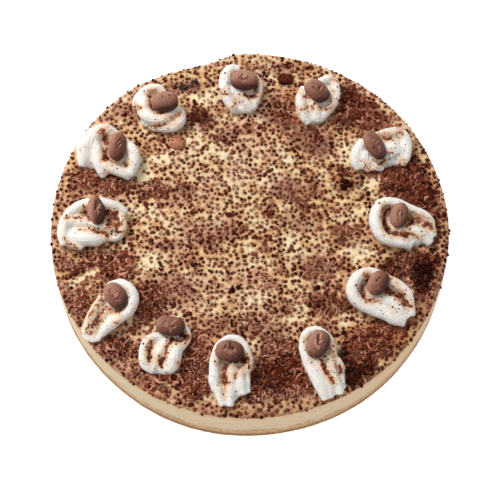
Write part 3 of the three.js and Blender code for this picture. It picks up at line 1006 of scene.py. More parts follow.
# Painted shadows on the cream, mostly to the lower right of swirls and beans, away from the light.
PAINTED_SHADOWS = patches(
    (-43.5, 103, 3.4, 2.4, 1.4), (-37, 107, 2.4, 2.2, 1.3), (-42, 103, 9, 4, 0.25),
    (60, -88, 3.5, 8, 0.85), (65, -102, 5, 8, 0.7), (78, -98, 8, 6, 0.35), (112, -33, 7, 11, 0.95),
    (96, -84, 12, 5, 0.3), (108, 26, 10, 10, 0.15), (72, 92, 9, 6, 0.15), (58, 100, 4, 6, 0.5),
    (14, -104, 12, 9, 0.45), (28, -94, 8, 6, 0.2), (-44, -88, 5, 9, 0.4), (-64, -58, 6, 5, 0.35),
    (72, 31, 4, 3, 0.5), (-34, 80, 6, 4, 0.3), (84, -8, 3, 4, 0.4), (58, -42, 2.5, 3, 0.6),
)
BLOOMS = patches(
    (14, 82, 8, 7, 0.8), (26, 76, 10, 7, 0.95), (38, 66, 12, 8, 0.95), (46, 59, 10, 8, 1.0),
    (34, 94, 8, 6, 0.6), (-30, 78, 10, 7, 0.9), (-14, 68, 8, 5, 0.6), (-42, 103, 12, 5, 0.9),
    (-64, 28, 14, 6, 0.7), (-44, 27, 8, 4, 0.7), (62, 31, 8, 7, 0.7), (26, 30, 14, 8, 0.55),
    (32, 4, 14, 8, 0.55), (66, -6, 9, 9, 0.5), (44, -28, 13, 9, 0.5), (-20, -2, 24, 8, 0.4),
    (-58, -40, 12, 8, 0.5), (0, -72, 30, 6, 0.5), (-86, 80, 10, 8, 0.4), (-110, 0, 12, 16, 0.4),
    (20, -116, 20, 7, 0.4), (110, -70, 10, 14, 0.4), (-100, -88, 14, 8, 0.4), (20, 118, 20, 5, 0.5),
)
STAINS = patches(
    (-77, -24, 4.5, 5, 1.0), (-80, -4, 3, 3, 0.5), (24, -84, 7, 4, 0.45), (34, 80, 7, 3.5, 0.7),
    (80, -76, 22, 10, 0.6), (100, -60, 10, 8, 0.3), (30, 98, 8, 5, 0.5), (58, 36, 5, 4, 0.5),
    (-66, -112, 10, 4, 0.3), (-24, -76, 8, 5, 0.3),
)
CURLED = patches(
    (45, -28, 12, 9, 1.0), (20, -82, 12, 8, 0.8), (34, -50, 6, 5, 0.8), (50, -56, 10, 7, 0.7),
    (-17, -43, 9, 4, 0.7), (12, -40, 10, 5, 0.7), (34, 18, 10, 8, 0.5), (66, -4, 7, 7, 0.7),
    (-30, 28, 12, 6, 0.35), (8, -64, 20, 5, 0.6), (0, -6, 16, 8, 0.3), (-62, -30, 8, 5, 0.4),
)


@dataclass
class CoffeeCream:
    """The thick layer of coffee cream, uneven on top, with how much chocolate lies where."""

    corners: int = 640
    rings: int = 94
    rounding: float = 2.2
    plain_cover: float = 0.46
    swell: float = 0.3
    drift_height: float = 0.9

    def cover(self, points: np.ndarray) -> np.ndarray:
        """How thickly chocolate lies, 0 for bare cream to 1 for a full cover.

        Args:
            points: Places on the top, in mm.

        Returns:
            The cover at each place.
        """
        x, y = points[:, 0], points[:, 1]
        flat = points[:, :2]
        total = np.full(len(points), self.plain_cover)
        total += 0.17 * lattice_noise(flat, 12, 21) + 0.17 * lattice_noise(flat, 5, 22)
        total += 0.1 * smooth_step(np.hypot(x, y), 85, 120)
        shift = [3.5 * lattice_noise(flat, 7, seed) + 2.5 * lattice_noise(flat, 3, seed + 5)
                 for seed in (23, 24)]
        for patch in (*DRIFTS, *CLEARINGS):
            share = patch.share(x + shift[0], y + shift[1])
            total += share * (patch.cover + 0.12 * lattice_noise(flat, 4, 25) - total)
        at_rim = 0.58 - 0.2 * smooth_step(y, -10, 60)
        total += 0.7 * smooth_step(np.hypot(x, y), 118, 127) * (at_rim - total)
        return np.clip(total, 0, 1)

    @staticmethod
    def tally(points: np.ndarray, patches: Sequence[Patch]) -> np.ndarray:
        """How far each place lies in any of some patches, each with its own weight.

        Args:
            points: N places, in mm.
            patches: The patches.

        Returns:
            N weights.
        """
        shift = [lattice_noise(points[:, :2], 4, seed) for seed in (26, 27)]
        shares = [patch.cover * patch.share(points[:, 0] + shift[0], points[:, 1] + shift[1])
                  for patch in patches]
        return np.max(shares, axis=0)

    def mesh(self) -> Mesh:
        """Makes the layer's skin, from its foot up the wall and over the top to the middle.

        Returns:
            The skin, with what the finish needs stored on its points.
        """
        angle = np.linspace(0, 2 * math.pi, self.corners, endpoint=False)
        rim = CAKE.rim(angle)
        wall = [(z, 0.0) for z in np.linspace(CAKE.cream_foot, CAKE.top - self.rounding, 20)]
        bend = [(CAKE.top - self.rounding * (1 - math.sin(t)), self.rounding * (1 - math.cos(t)))
                for t in np.linspace(0, math.pi / 2, 6)[1:]]
        levels = wall + bend
        rings = [self._ring(angle, rim - inset, z) for z, inset in levels]
        shares = np.linspace(1, 0, self.rings + 1)[1:-1]
        rings += [self._ring(angle, (rim - self.rounding) * share, CAKE.top) for share in shares]
        points, faces = round_skin(np.array(rings))
        ragged = points[:, 2] + 0.8 * lattice_noise(points, 3, 35)
        on_wall = 1 - smooth_step(ragged, CAKE.top - self.rounding - 0.6, CAKE.top - 1.2)
        points = self._uneven(points, on_wall)
        mesh = new_mesh("coffee_cream_layer", points, faces)
        strewn = self.cover(points) * (1 - on_wall)
        store(mesh, "strewn", strewn)
        store(mesh, "wall", on_wall)
        for name, patches in (("gloom", PAINTED_SHADOWS), ("stain", STAINS), ("bloomed", BLOOMS)):
            share = self.tally(points, patches) * (1 - on_wall)
            # The painted shadow is weaker towards the upper left, where the light comes from.
            if name == "gloom":
                share -= 0.2 * smooth_step(-points[:, 0] - 0.5 * points[:, 1], -20, 80)
            store(mesh, name, share)
        shade_smooth(mesh)
        return mesh

    @staticmethod
    def _ring(angle: np.ndarray, radius: np.ndarray, z: float) -> np.ndarray:
        """One level ring of points."""
        return np.stack([radius * np.cos(angle), radius * np.sin(angle), np.full_like(angle, z)], 1)

    def _uneven(self, points: np.ndarray, on_wall: np.ndarray) -> np.ndarray:
        """Swells the top, more where chocolate lies thick, and smears the wall.

        Args:
            points: The skin's points, in mm.
            on_wall: How far each belongs to the wall, 0 to 1.

        Returns:
            The moved points.
        """
        moved = points.copy()
        flat = points[:, :2]
        swell = 0.65 * lattice_noise(flat, 9, 31) + 0.35 * lattice_noise(flat, 3.4, 32)
        heap = self.drift_height * smooth_step(self.cover(points), 0.55, 1.0)
        moved[:, 2] += (1 - on_wall) * (self.swell * swell + heap - 0.2)
        away = flat / np.maximum(np.linalg.norm(flat, axis=1, keepdims=True), 1e-6)
        stretched = points * np.array([1, 1, 3.0])
        smear = 0.3 * lattice_noise(stretched, 14, 33) + 0.14 * lattice_noise(stretched, 4, 34)
        moved[:, :2] += away * (on_wall * (smear - 0.2))[:, None]
        moved[-2] = points[-2]
        return moved

    def build(self, finish: Material) -> Object:
        """Makes the finished layer.

        Args:
            finish: The cream's material.

        Returns:
            The finished piece.
        """
        mesh = self.mesh()
        mesh.materials.append(finish)
        return finish_piece(show("coffee_cream_layer", mesh), "coffee_cream", "coffee_cream")


# ---- Piped swirls -------------------------------------------------------------------
@dataclass(frozen=True)
class SwirlPlan:
    """What one swirl is piped from.

    Stations are (x, y, height above the cake's top, radius): the ropes that show, and the
    wide low cream that fills the hollows between them.
    """

    ropes: tuple[tuple[Station, ...], ...]
    fill: tuple[tuple[Station, ...], ...]
    # Strokes of cocoa; some of them are painted shadows by the beans or in holes.
    dust: tuple[Stroke, ...] = ()


SWIRLS = (
    SwirlPlan(
        ropes=(
            ((-88, 63, 9, 3.5), (-94, 65.5, 11, 4.5), (-101, 63, 10, 6), (-107, 56, 8.5, 7),
             (-108.5, 49, 6, 5.8), (-109.5, 44, 3.5, 4)),
            ((-102, 55, 8.5, 5.5), (-99, 45, 7, 5), (-97, 38.5, 4.5, 3.8), (-96, 35.5, 2.5, 2.5)),
            ((-97, 43, 7, 4), (-89, 39, 7, 4), (-82, 36.5, 5.5, 3.5), (-79, 35, 3, 2.8)),
            ((-83, 58, 7, 4.5), (-77, 51.5, 7.5, 4.5), (-76, 43.5, 6, 4.5), (-78.5, 37, 4, 3.5)),
        ),
        fill=(
            ((-97, 61, 1, 9), (-90, 52, 1, 9), (-85, 44, 1, 7)),
            ((-80, 55, 1, 6.5), (-76, 47, 1, 6)),
            ((-106, 52, 1, 7), (-101, 47, 1, 7)),
        ),
        dust=strokes(
            (((-97.5, 66.5), (-95.5, 61), (-93, 56), (-94, 48)), 4.0, 0.45),
            (((-97.5, 66.5), (-95.5, 61), (-93, 56)), 2.6, 0.8), (((-95.5, 52), (-95.5, 46)), 2.2, 0.8),
            # The stroke at (-82, 42) is a dark hole, painted as shade.
            (((-93.5, 45), (-88, 41.5)), 2.0, 0.65), (((-82.5, 43), (-81, 41.5)), 1.8, 1.15),
            (((-94.5, 38), (-92, 35)), 2.4, 0.55), (((-93, 69), (-90.5, 66)), 1.4, 0.6),
            (((-110, 55), (-105, 53)), 2.4, 0.35), (((-82, 54), (-76, 50), (-77, 45)), 1.0, 0.45),
        ),
    ),
    SwirlPlan(
        ropes=(
            ((-70, 88, 8, 5), (-70, 81.5, 8, 5), (-66, 76.5, 8, 5), (-60, 75, 8, 4.5),
             (-54, 77, 8, 4), (-50, 82, 7, 3.5), (-48.5, 85, 6, 2.8)),
            ((-57, 94.5, 9, 3), (-62, 97.5, 10, 3.5), (-69, 95, 9.5, 4), (-74, 90.5, 7, 4),
             (-76, 86.5, 4, 3)),
            ((-70, 77, 4, 3.5), (-66, 73, 4, 3.5), (-59, 71, 4, 3.5), (-51, 71.5, 4.5, 4.3),
             (-46, 75, 5, 4), (-45, 80, 5, 3), (-46.5, 84, 5, 2.4)),
        ),
        fill=(((-64, 91, 1, 8), (-60, 83, 1, 8), (-53, 79, 1, 7)),),
        dust=strokes(
            (((-76, 84.5), (-72.5, 84)), 1.8, 1.2),
            (((-67, 94), (-66, 86), (-62, 81), (-57, 79.5)), 1.5, 0.95),
            (((-60, 71), (-51, 72), (-46, 77)), 4.5, 0.3), (((-68, 98), (-60, 99)), 3.0, 0.3),
            (((-66, 71), (-61, 69.5), (-56, 72)), 1.3, 0.95),
            (((-54, 81), (-53, 76), (-49, 79), (-46, 79)), 2.2, 0.5),
            (((-52, 73), (-47, 71)), 2.6, 0.3), (((-66, 97), (-58, 97)), 1.2, 0.5),
        ),
    ),
    SwirlPlan(
        ropes=(
            ((-7, 112, 10, 3), (-13, 111, 10, 4), (-16, 105, 9, 4.5), (-16, 98, 7.5, 4.6),
             (-14, 92, 5.5, 4.5), (-11, 86, 4, 3.5), (-10.5, 82.5, 2, 2)),
            ((-9, 98, 8, 4), (-5, 93, 6.5, 4), (-1, 88.5, 5, 3.8), (1.5, 84.5, 3, 2.8)),
            ((4, 107, 9, 2.2), (7, 102, 8.5, 2.2), (6.5, 96, 7, 2.5), (4.5, 91, 5, 3),
             (2, 86, 3, 3)),
        ),
        fill=(
            ((-6, 106, 1, 8), (-4, 98, 1, 8.5), (-5, 90, 1, 6)),
            ((-10, 86.5, 1, 4), (1, 87, 1, 4)),
        ),
        dust=strokes(
            (((-18.5, 94.2), (-14.8, 93.8)), 0.9, 1.2), (((-11.3, 83.5), (-9.5, 88.5)), 0.7, 0.95),
            (((-7, 92), (-5.5, 89)), 1.2, 0.55), (((-3.3, 94), (0, 91.8), (4, 92.5)), 1.6, 1.35),
            (((3.5, 102), (5, 97)), 2.2, 1.05), (((5, 108), (7.2, 104)), 0.8, 0.7),
            (((-18, 97), (-15, 98)), 1.0, 0.55), (((-16, 110), (-10, 112)), 1.6, 0.4),
        ),
    ),
    SwirlPlan(
        ropes=(
            ((47, 102.5, 9, 3), (52, 104.5, 9, 3.5), (56.5, 103.5, 8, 3.5), (57.5, 97.5, 8, 3.5),
             (57, 91, 7.5, 3.5), (54, 85.5, 6, 3.5), (50, 81, 4.5, 3.5), (47, 77, 3, 2.5)),
            ((54, 104, 7, 3), (54.5, 108.5, 5, 1.6)),
            ((37, 97, 9, 4), (35, 91, 8.5, 4.5), (34.8, 84.5, 7, 4.2), (36.5, 79, 5, 3.8),
             (39.5, 74.5, 3, 2.6)),
            ((42, 91, 8, 4), (44, 85, 7, 4), (45.5, 79.5, 5, 3.5), (46, 76, 3, 2.4)),
        ),
        fill=(
            ((46, 98, 1, 9), (47, 90, 1, 9), (46, 83, 1, 6)),
            ((38, 79, 1, 4.5), (47, 80, 1, 4.5)),
        ),
        dust=strokes(
            (((36.5, 92.8), (39.8, 91)), 1.3, 1.0), (((34.5, 96),), 0.9, 0.9),
            (((37, 82.5), (38.5, 85)), 1.2, 1.15), (((42.8, 87.5), (42.4, 82.5)), 1.2, 0.95),
            (((55, 107), (59.5, 103.5)), 1.9, 0.8), (((56.5, 96.5), (57, 91)), 1.0, 0.7),
            (((54.5, 88),), 1.5, 1.3), (((46.5, 84.5), (50, 82), (54, 84)), 0.8, 1.2),
            (((33, 85), (33, 82)), 1.0, 0.8),
        ),
    ),
    SwirlPlan(
        ropes=(
            ((83, 62.5, 8, 3), (90, 64, 9.5, 3.5), (97, 64.5, 9.5, 4), (102.5, 62, 8.5, 3.6),
             (104.5, 55, 7, 3.2), (103.5, 48, 5, 2.8), (101, 44, 3, 2.5)),
            ((75, 58, 8, 4), (71.5, 51.5, 7, 4.5), (70.5, 45.5, 5, 4.3), (72, 41.5, 3, 3.2)),
            ((77, 50, 7, 4.5), (76.5, 44.5, 5.5, 4), (79, 40, 3, 2.8)),
            ((82, 46.5, 6, 4), (84, 42.5, 4.5, 3.6), (88, 42, 3.5, 3)),
        ),
        fill=(
            ((88, 57, 5, 6.5), (94, 54, 4.5, 7.5), (99, 50, 3, 6), (98, 45, 2, 3.6)),
            ((80, 56, 1, 8), (85, 48, 1, 7)),
            ((90, 53, 1, 6.5), (93, 46.5, 1, 5.5)),
        ),
        dust=strokes(
            (((86.8, 64.5), (93, 63.5), (99.5, 66)), 3.2, 0.9), (((89.5, 61), (93, 61)), 1.4, 1.0),
            (((82, 44.5), (87, 42)), 1.1, 0.95), (((88.5, 45), (85.5, 42)), 0.8, 0.9),
            (((75.5, 44), (79.5, 37)), 0.7, 0.9), (((100, 45), (103, 45)), 0.5, 0.9),
            (((99.5, 43), (102.5, 42.3)), 0.5, 0.9), (((92.3, 51), (93.8, 51.8)), 0.6, 1.2),
        ),
    ),
    SwirlPlan(
        ropes=(
            ((119, -7, 3, 3), (118.5, -0.5, 5.5, 3), (116, 4, 8, 3), (109, 7.5, 9.5, 3),
             (101, 10.5, 10.5, 3.3), (94, 13, 11, 3.6), (87, 12.5, 11, 4.2), (82.5, 6, 11, 4.6),
             (82, -2, 10.5, 4.6), (85.5, -9.5, 9, 4.2), (92, -12.5, 7.5, 3.8),
             (99, -13.5, 6, 3.6), (104.5, -14.5, 3.5, 3)),
            ((97, -5, 7, 4), (104, -4.5, 7.5, 4.3), (111, -7.5, 6.5, 4.2), (117, -12, 4, 3.5)),
        ),
        fill=(
            ((102, 5, 4, 5), (110, 2, 4, 4.5), (116, -3, 3, 4)),
            ((90, 4, 0.5, 7.5), (98, -4, 0.5, 8), (110, -8, 0.5, 6)),
        ),
        dust=strokes(
            (((88, 11.5), (87.3, 5), (88, -3), (91, -7), (96, -7.5), (101, -9)), 2.3, 1.3),
            (((91, 11), (92, 8)), 1.4, 0.9), (((101, -6), (106, -8), (111.5, -9.5)), 1.0, 0.95),
            (((103.5, 3.5), (111, 0.5), (118, -3.5)), 2.6, 1.15),
            (((106, 7.5), (114, 3.5), (118, 0)), 2.2, 0.6), (((102.5, -2), (105, 0)), 1.5, 1.4),
        ),
    ),
    SwirlPlan(
        ropes=(
            ((103.5, -62, 3, 3), (103, -55, 6, 3), (100.5, -48.5, 8, 3.5), (95, -44, 9.5, 3.6),
             (88, -40, 10, 3.3), (81, -36.5, 10.5, 3.4), (74, -36.5, 11, 4), (68, -41, 11, 4.5),
             (65.5, -48, 10, 4.6), (69, -55, 8.5, 4.2), (76, -59, 7, 4), (84, -62, 6, 4),
             (92, -65.5, 4.5, 4), (98.5, -67.5, 2.5, 3)),
            ((83, -52, 7, 4), (90, -54.5, 7, 4.2), (96, -59.5, 5.5, 4.2), (99.5, -64.5, 3.5, 3.5)),
        ),
        fill=(((73, -45, 0.5, 7.5), (80, -49, 0.5, 8.5), (89, -53, 0.5, 8.5), (97, -58, 0.5, 6.5)),),
        dust=strokes(
            (((74.5, -35.5), (77, -43)), 2.1, 1.1), (((72, -46), (73, -51), (75, -54)), 2.2, 0.95),
            (((77.5, -53.5), (82.5, -54.5)), 1.3, 0.95), (((87.5, -39), (91.8, -39)), 0.8, 1.2),
            (((93, -41), (95.5, -41.5)), 1.1, 0.8),
            # The next stroke is the dark gap at the bean's lower right: painted shadow with cocoa.
            (((86.5, -47), (91, -48), (96, -51), (99, -56)), 2.4, 1.4),
            (((97, -47), (100.5, -53), (101, -57)), 1.8, 0.6), (((102.5, -58),), 1.3, 1.3),
            (((89, -57), (92, -62)), 0.8, 0.5), (((73, -44), (76, -47)), 2.0, 0.5),
        ),
    ),
    SwirlPlan(
        ropes=(
            ((53, -93, 6.5, 3.2), (52.5, -86, 9, 2.8), (49, -79.5, 10.5, 2.8), (43, -75.5, 11.5, 3),
             (36, -78, 11.5, 3.2), (34, -86, 10, 3.4), (37, -95, 8, 4), (41, -103, 6.5, 4.5),
             (45, -111.5, 5, 4.2), (48, -118, 2.5, 3)),
            ((42, -94, 8, 3.6), (46, -102, 6.5, 3.6), (49.5, -110, 4.5, 3.4), (50.5, -117, 2.5, 2.8)),
            ((49, -92, 8, 2.8), (51.5, -99, 7, 2.8), (55, -108, 5, 2.8), (58, -115, 2.5, 2.4)),
            ((55, -94, 5.5, 3.4), (58, -98, 4, 2.8), (60.5, -99.5, 2.5, 1.8)),
        ),
        fill=(
            ((43, -84, 0.5, 8.5), (49, -96, 0.5, 8.5), (54, -110, 0.5, 5)),
            ((56, -97, 0.5, 4.5), (57.5, -110, 0.5, 4)),
        ),
        dust=strokes(
            (((43, -92), (46.5, -97), (49, -103), (52.5, -109.5)), 1.4, 1.25),
            (((45.5, -97), (48, -105)), 1.2, 0.75), (((47.8, -92),), 1.0, 1.6),
            (((53, -87), (54.5, -96), (57, -103)), 2.6, 0.75), (((35, -79), (35.3, -87)), 0.9, 0.6),
            (((51.2, -81), (52.8, -85)), 0.7, 0.9), (((57, -98), (58.5, -102)), 0.8, 1.1),
            (((37, -92), (39, -97)), 0.8, 0.5),
        ),
    ),
    SwirlPlan(
        ropes=(
            ((-2, -101, 5.5, 3), (0, -96.5, 8, 2.8), (-1, -90, 10, 2.8), (-5, -84, 11.5, 3),
             (-11, -81.5, 12, 3), (-18, -85, 11.5, 3.2), (-21.5, -92.5, 10, 3.4),
             (-22, -101, 8, 3.8), (-22, -108.5, 6, 3.8), (-19, -115.5, 4, 3.4),
             (-16.5, -122.5, 2.5, 2.8)),
            ((-11, -97, 8.5, 3), (-11.2, -106, 7, 3), (-12, -115, 4.5, 3), (-12, -123, 2.5, 2.6)),
            ((-6, -100, 6.5, 3.4), (-5.5, -108, 5.5, 3.6), (-3.8, -115.5, 3, 3)),
            ((-2, -103, 4, 3), (-1, -114.5, 2.5, 2.4)),
        ),
        fill=(((-11, -88, 0.5, 9), (-11, -99, 0.5, 8.5), (-11, -111, 0.5, 7.5), (-14, -120, 0, 4.5)),),
        dust=strokes(
            (((-15.5, -99), (-15.5, -109)), 2.1, 1.3), (((-15.5, -109), (-16, -118)), 2.2, 0.6),
            # The stroke below the bean's right, at (-8, -94), is painted shadow.
            (((-7, -99.5), (-8.5, -105)), 1.4, 1.0), (((-8.5, -94.5), (-4, -94)), 2.4, 1.6),
            (((-1.2, -90.5), (-1.6, -95.5)), 1.2, 1.3), (((0, -98), (-0.9, -100)), 1.1, 1.2),
            (((-19.5, -96), (-13, -97)), 1.5, 0.55), (((-21.5, -88), (-22, -96)), 0.7, 0.5),
            (((-4, -103), (-2, -106)), 1.3, 0.5),
        ),
    ),
    SwirlPlan(
        ropes=(
            ((-55, -79, 8, 3.2), (-61, -79.5, 8.5, 3.4), (-66, -84.5, 7.5, 3.4),
             (-67, -91, 6, 3.4), (-65.5, -96.5, 4.5, 3.4), (-60.5, -99.5, 3, 3)),
            ((-52, -81.5, 8.5, 3), (-56, -88, 7, 3), (-59, -94.5, 5, 3), (-59.5, -98.5, 3, 2.8)),
            ((-45, -84, 7.5, 4), (-47, -90, 7, 5), (-48.5, -96, 5, 5), (-51, -99.5, 3, 3.8)),
            ((-41, -72, 9.5, 2), (-38.5, -77, 9, 2), (-39.5, -82, 8, 2.2), (-43, -85.5, 7, 3)),
        ),
        fill=(
            ((-50, -76, 0.5, 9), (-56, -87, 0.5, 9), (-59, -94, 0.5, 7)),
            ((-62.5, -98, 1, 3.8), (-51, -98.5, 1, 4)),
        ),
        dust=strokes(
            (((-62.5, -82), (-63.5, -88), (-63, -94.5)), 2.3, 1.15),
            (((-49.5, -80.5), (-52.5, -86), (-53.5, -91), (-56, -97)), 1.5, 1.15),
            (((-57, -92), (-56.5, -97)), 1.8, 0.8), (((-49, -80), (-46.5, -82)), 1.6, 1.0),
            # The first stroke here, under the bean, is painted shadow.
            (((-43.5, -77), (-38.8, -79)), 1.6, 1.6), (((-40, -81), (-40.5, -83.5)), 0.8, 1.2),
            (((-44.5, -96.5),), 0.9, 1.4), (((-46, -83), (-43, -82)), 1.2, 0.6),
        ),
    ),
    SwirlPlan(
        ropes=(
            ((-89.5, -45, 10, 3), (-83, -44, 11.5, 3.5), (-77, -47, 11.5, 4),
             (-74, -53.5, 10.5, 4.2), (-76.5, -61, 9, 4), (-83, -66.5, 7.5, 3.6),
             (-89.5, -71, 6, 3.8), (-94, -75, 3.5, 3.2)),
            ((-93, -52, 8.5, 3.4), (-98, -60, 8, 3.6), (-102, -67.5, 6.5, 3.6), (-104, -74, 4, 3.4)),
            ((-90, -61, 8, 2.6), (-94.5, -67.5, 7, 2.6), (-99, -74, 4.5, 2.6)),
            ((-86, -62, 7, 3), (-91, -69, 5.5, 3), (-95.5, -75.5, 3, 2.6)),
            ((-105, -75, 2.5, 2.8), (-100, -78, 2.5, 2.8), (-95, -77.5, 2.5, 2.8)),
        ),
        fill=(((-84, -52, 0.5, 8.5), (-91, -60, 0.5, 8.5), (-97, -68, 0.5, 7.5), (-100, -74, 0, 5)),),
        dust=strokes(
            (((-94.5, -54), (-102, -65)), 1.8, 0.65), (((-93, -54), (-101, -68)), 5.5, 0.3),
            (((-91.5, -58.5), (-103, -73.5)), 0.8, 1.15), (((-89, -59), (-98.5, -69)), 1.1, 0.7),
            (((-98, -70), (-99.5, -76.5)), 1.6, 0.85), (((-94.5, -67.5), (-98, -70)), 1.2, 0.9),
            (((-87.5, -61), (-83, -63)), 2.0, 0.9),
            (((-79.8, -47), (-79.3, -55), (-82, -60)), 1.0, 0.8), (((-106.5, -69),), 1.0, 1.3),
            (((-86.5, -69), (-83.5, -69.7)), 0.7, 0.9), (((-93, -49), (-95.5, -53)), 1.0, 0.6),
        ),
    ),
    SwirlPlan(
        ropes=(
            ((-81, 8.5, 5.5, 3.2), (-86, 11, 8, 3.6), (-93, 12.5, 10, 4), (-101, 13, 10.5, 4),
             (-109, 11, 10, 4.2), (-116, 6.5, 9, 4.3), (-120, 0, 7.5, 4.2), (-121, -7, 6, 4),
             (-119.5, -13, 4, 3.6)),
            ((-117, 2, 8, 3.5), (-110, 0.5, 9, 3.6), (-102, -1, 9, 3.6), (-95, -2, 8, 3.4),
             (-90, -4.5, 6.5, 3)),
            ((-113, -8, 5.5, 4.5), (-107, -9.5, 6, 5.5), (-100, -10.5, 5.5, 5), (-94.5, -9, 5, 3.6)),
            ((-116.5, -8, 5.5, 3), (-114, -13.5, 4, 3), (-108.5, -15, 3, 2.8)),
            ((-84, 8, 6, 3), (-82.5, 2, 6, 3), (-82.5, -4, 4.5, 3), (-86, -8, 3, 3),
             (-91, -8.5, 3.5, 3)),
            ((-90, 6, 7, 3), (-88, 0, 6, 3), (-89, -6, 4, 3)),
        ),
        fill=(
            ((-113, 1, 0.5, 8), (-101, 3, 0.5, 9.5), (-89, 2, 0.5, 8)),
            ((-118, -6, 0.5, 5), (-114, -12, 0.5, 5)),
        ),
        dust=strokes(
            (((-108, 12), (-106.8, 7), (-104, 2.5)), 1.4, 0.95),
            (((-120, 4.3), (-112, 4), (-108.5, 3.5)), 1.0, 1.0), (((-89, 7), (-88, -3)), 6.0, 0.4),
            (((-104, 9), (-112, 6)), 4.5, 0.3), (((-92.5, 8), (-90, 4), (-91, -1)), 2.4, 1.1),
            (((-87, 7), (-85.5, 1), (-86, -5)), 2.2, 0.95), (((-84.5, -6.3), (-81.5, -6.6)), 1.2, 1.2),
            (((-81.5, 4), (-82.5, -1)), 1.0, 0.9),
            (((-102, -5), (-97, -6.5), (-92.5, -7.5), (-91.3, -10)), 1.4, 1.15),
            (((-119.5, -11), (-117, -15), (-111, -18.3)), 1.1, 1.0), (((-95, 5), (-95.5, 0)), 1.2, 0.9),
            (((-110, -4.5), (-106, -4.7)), 0.8, 1.0),
        ),
    ),
)


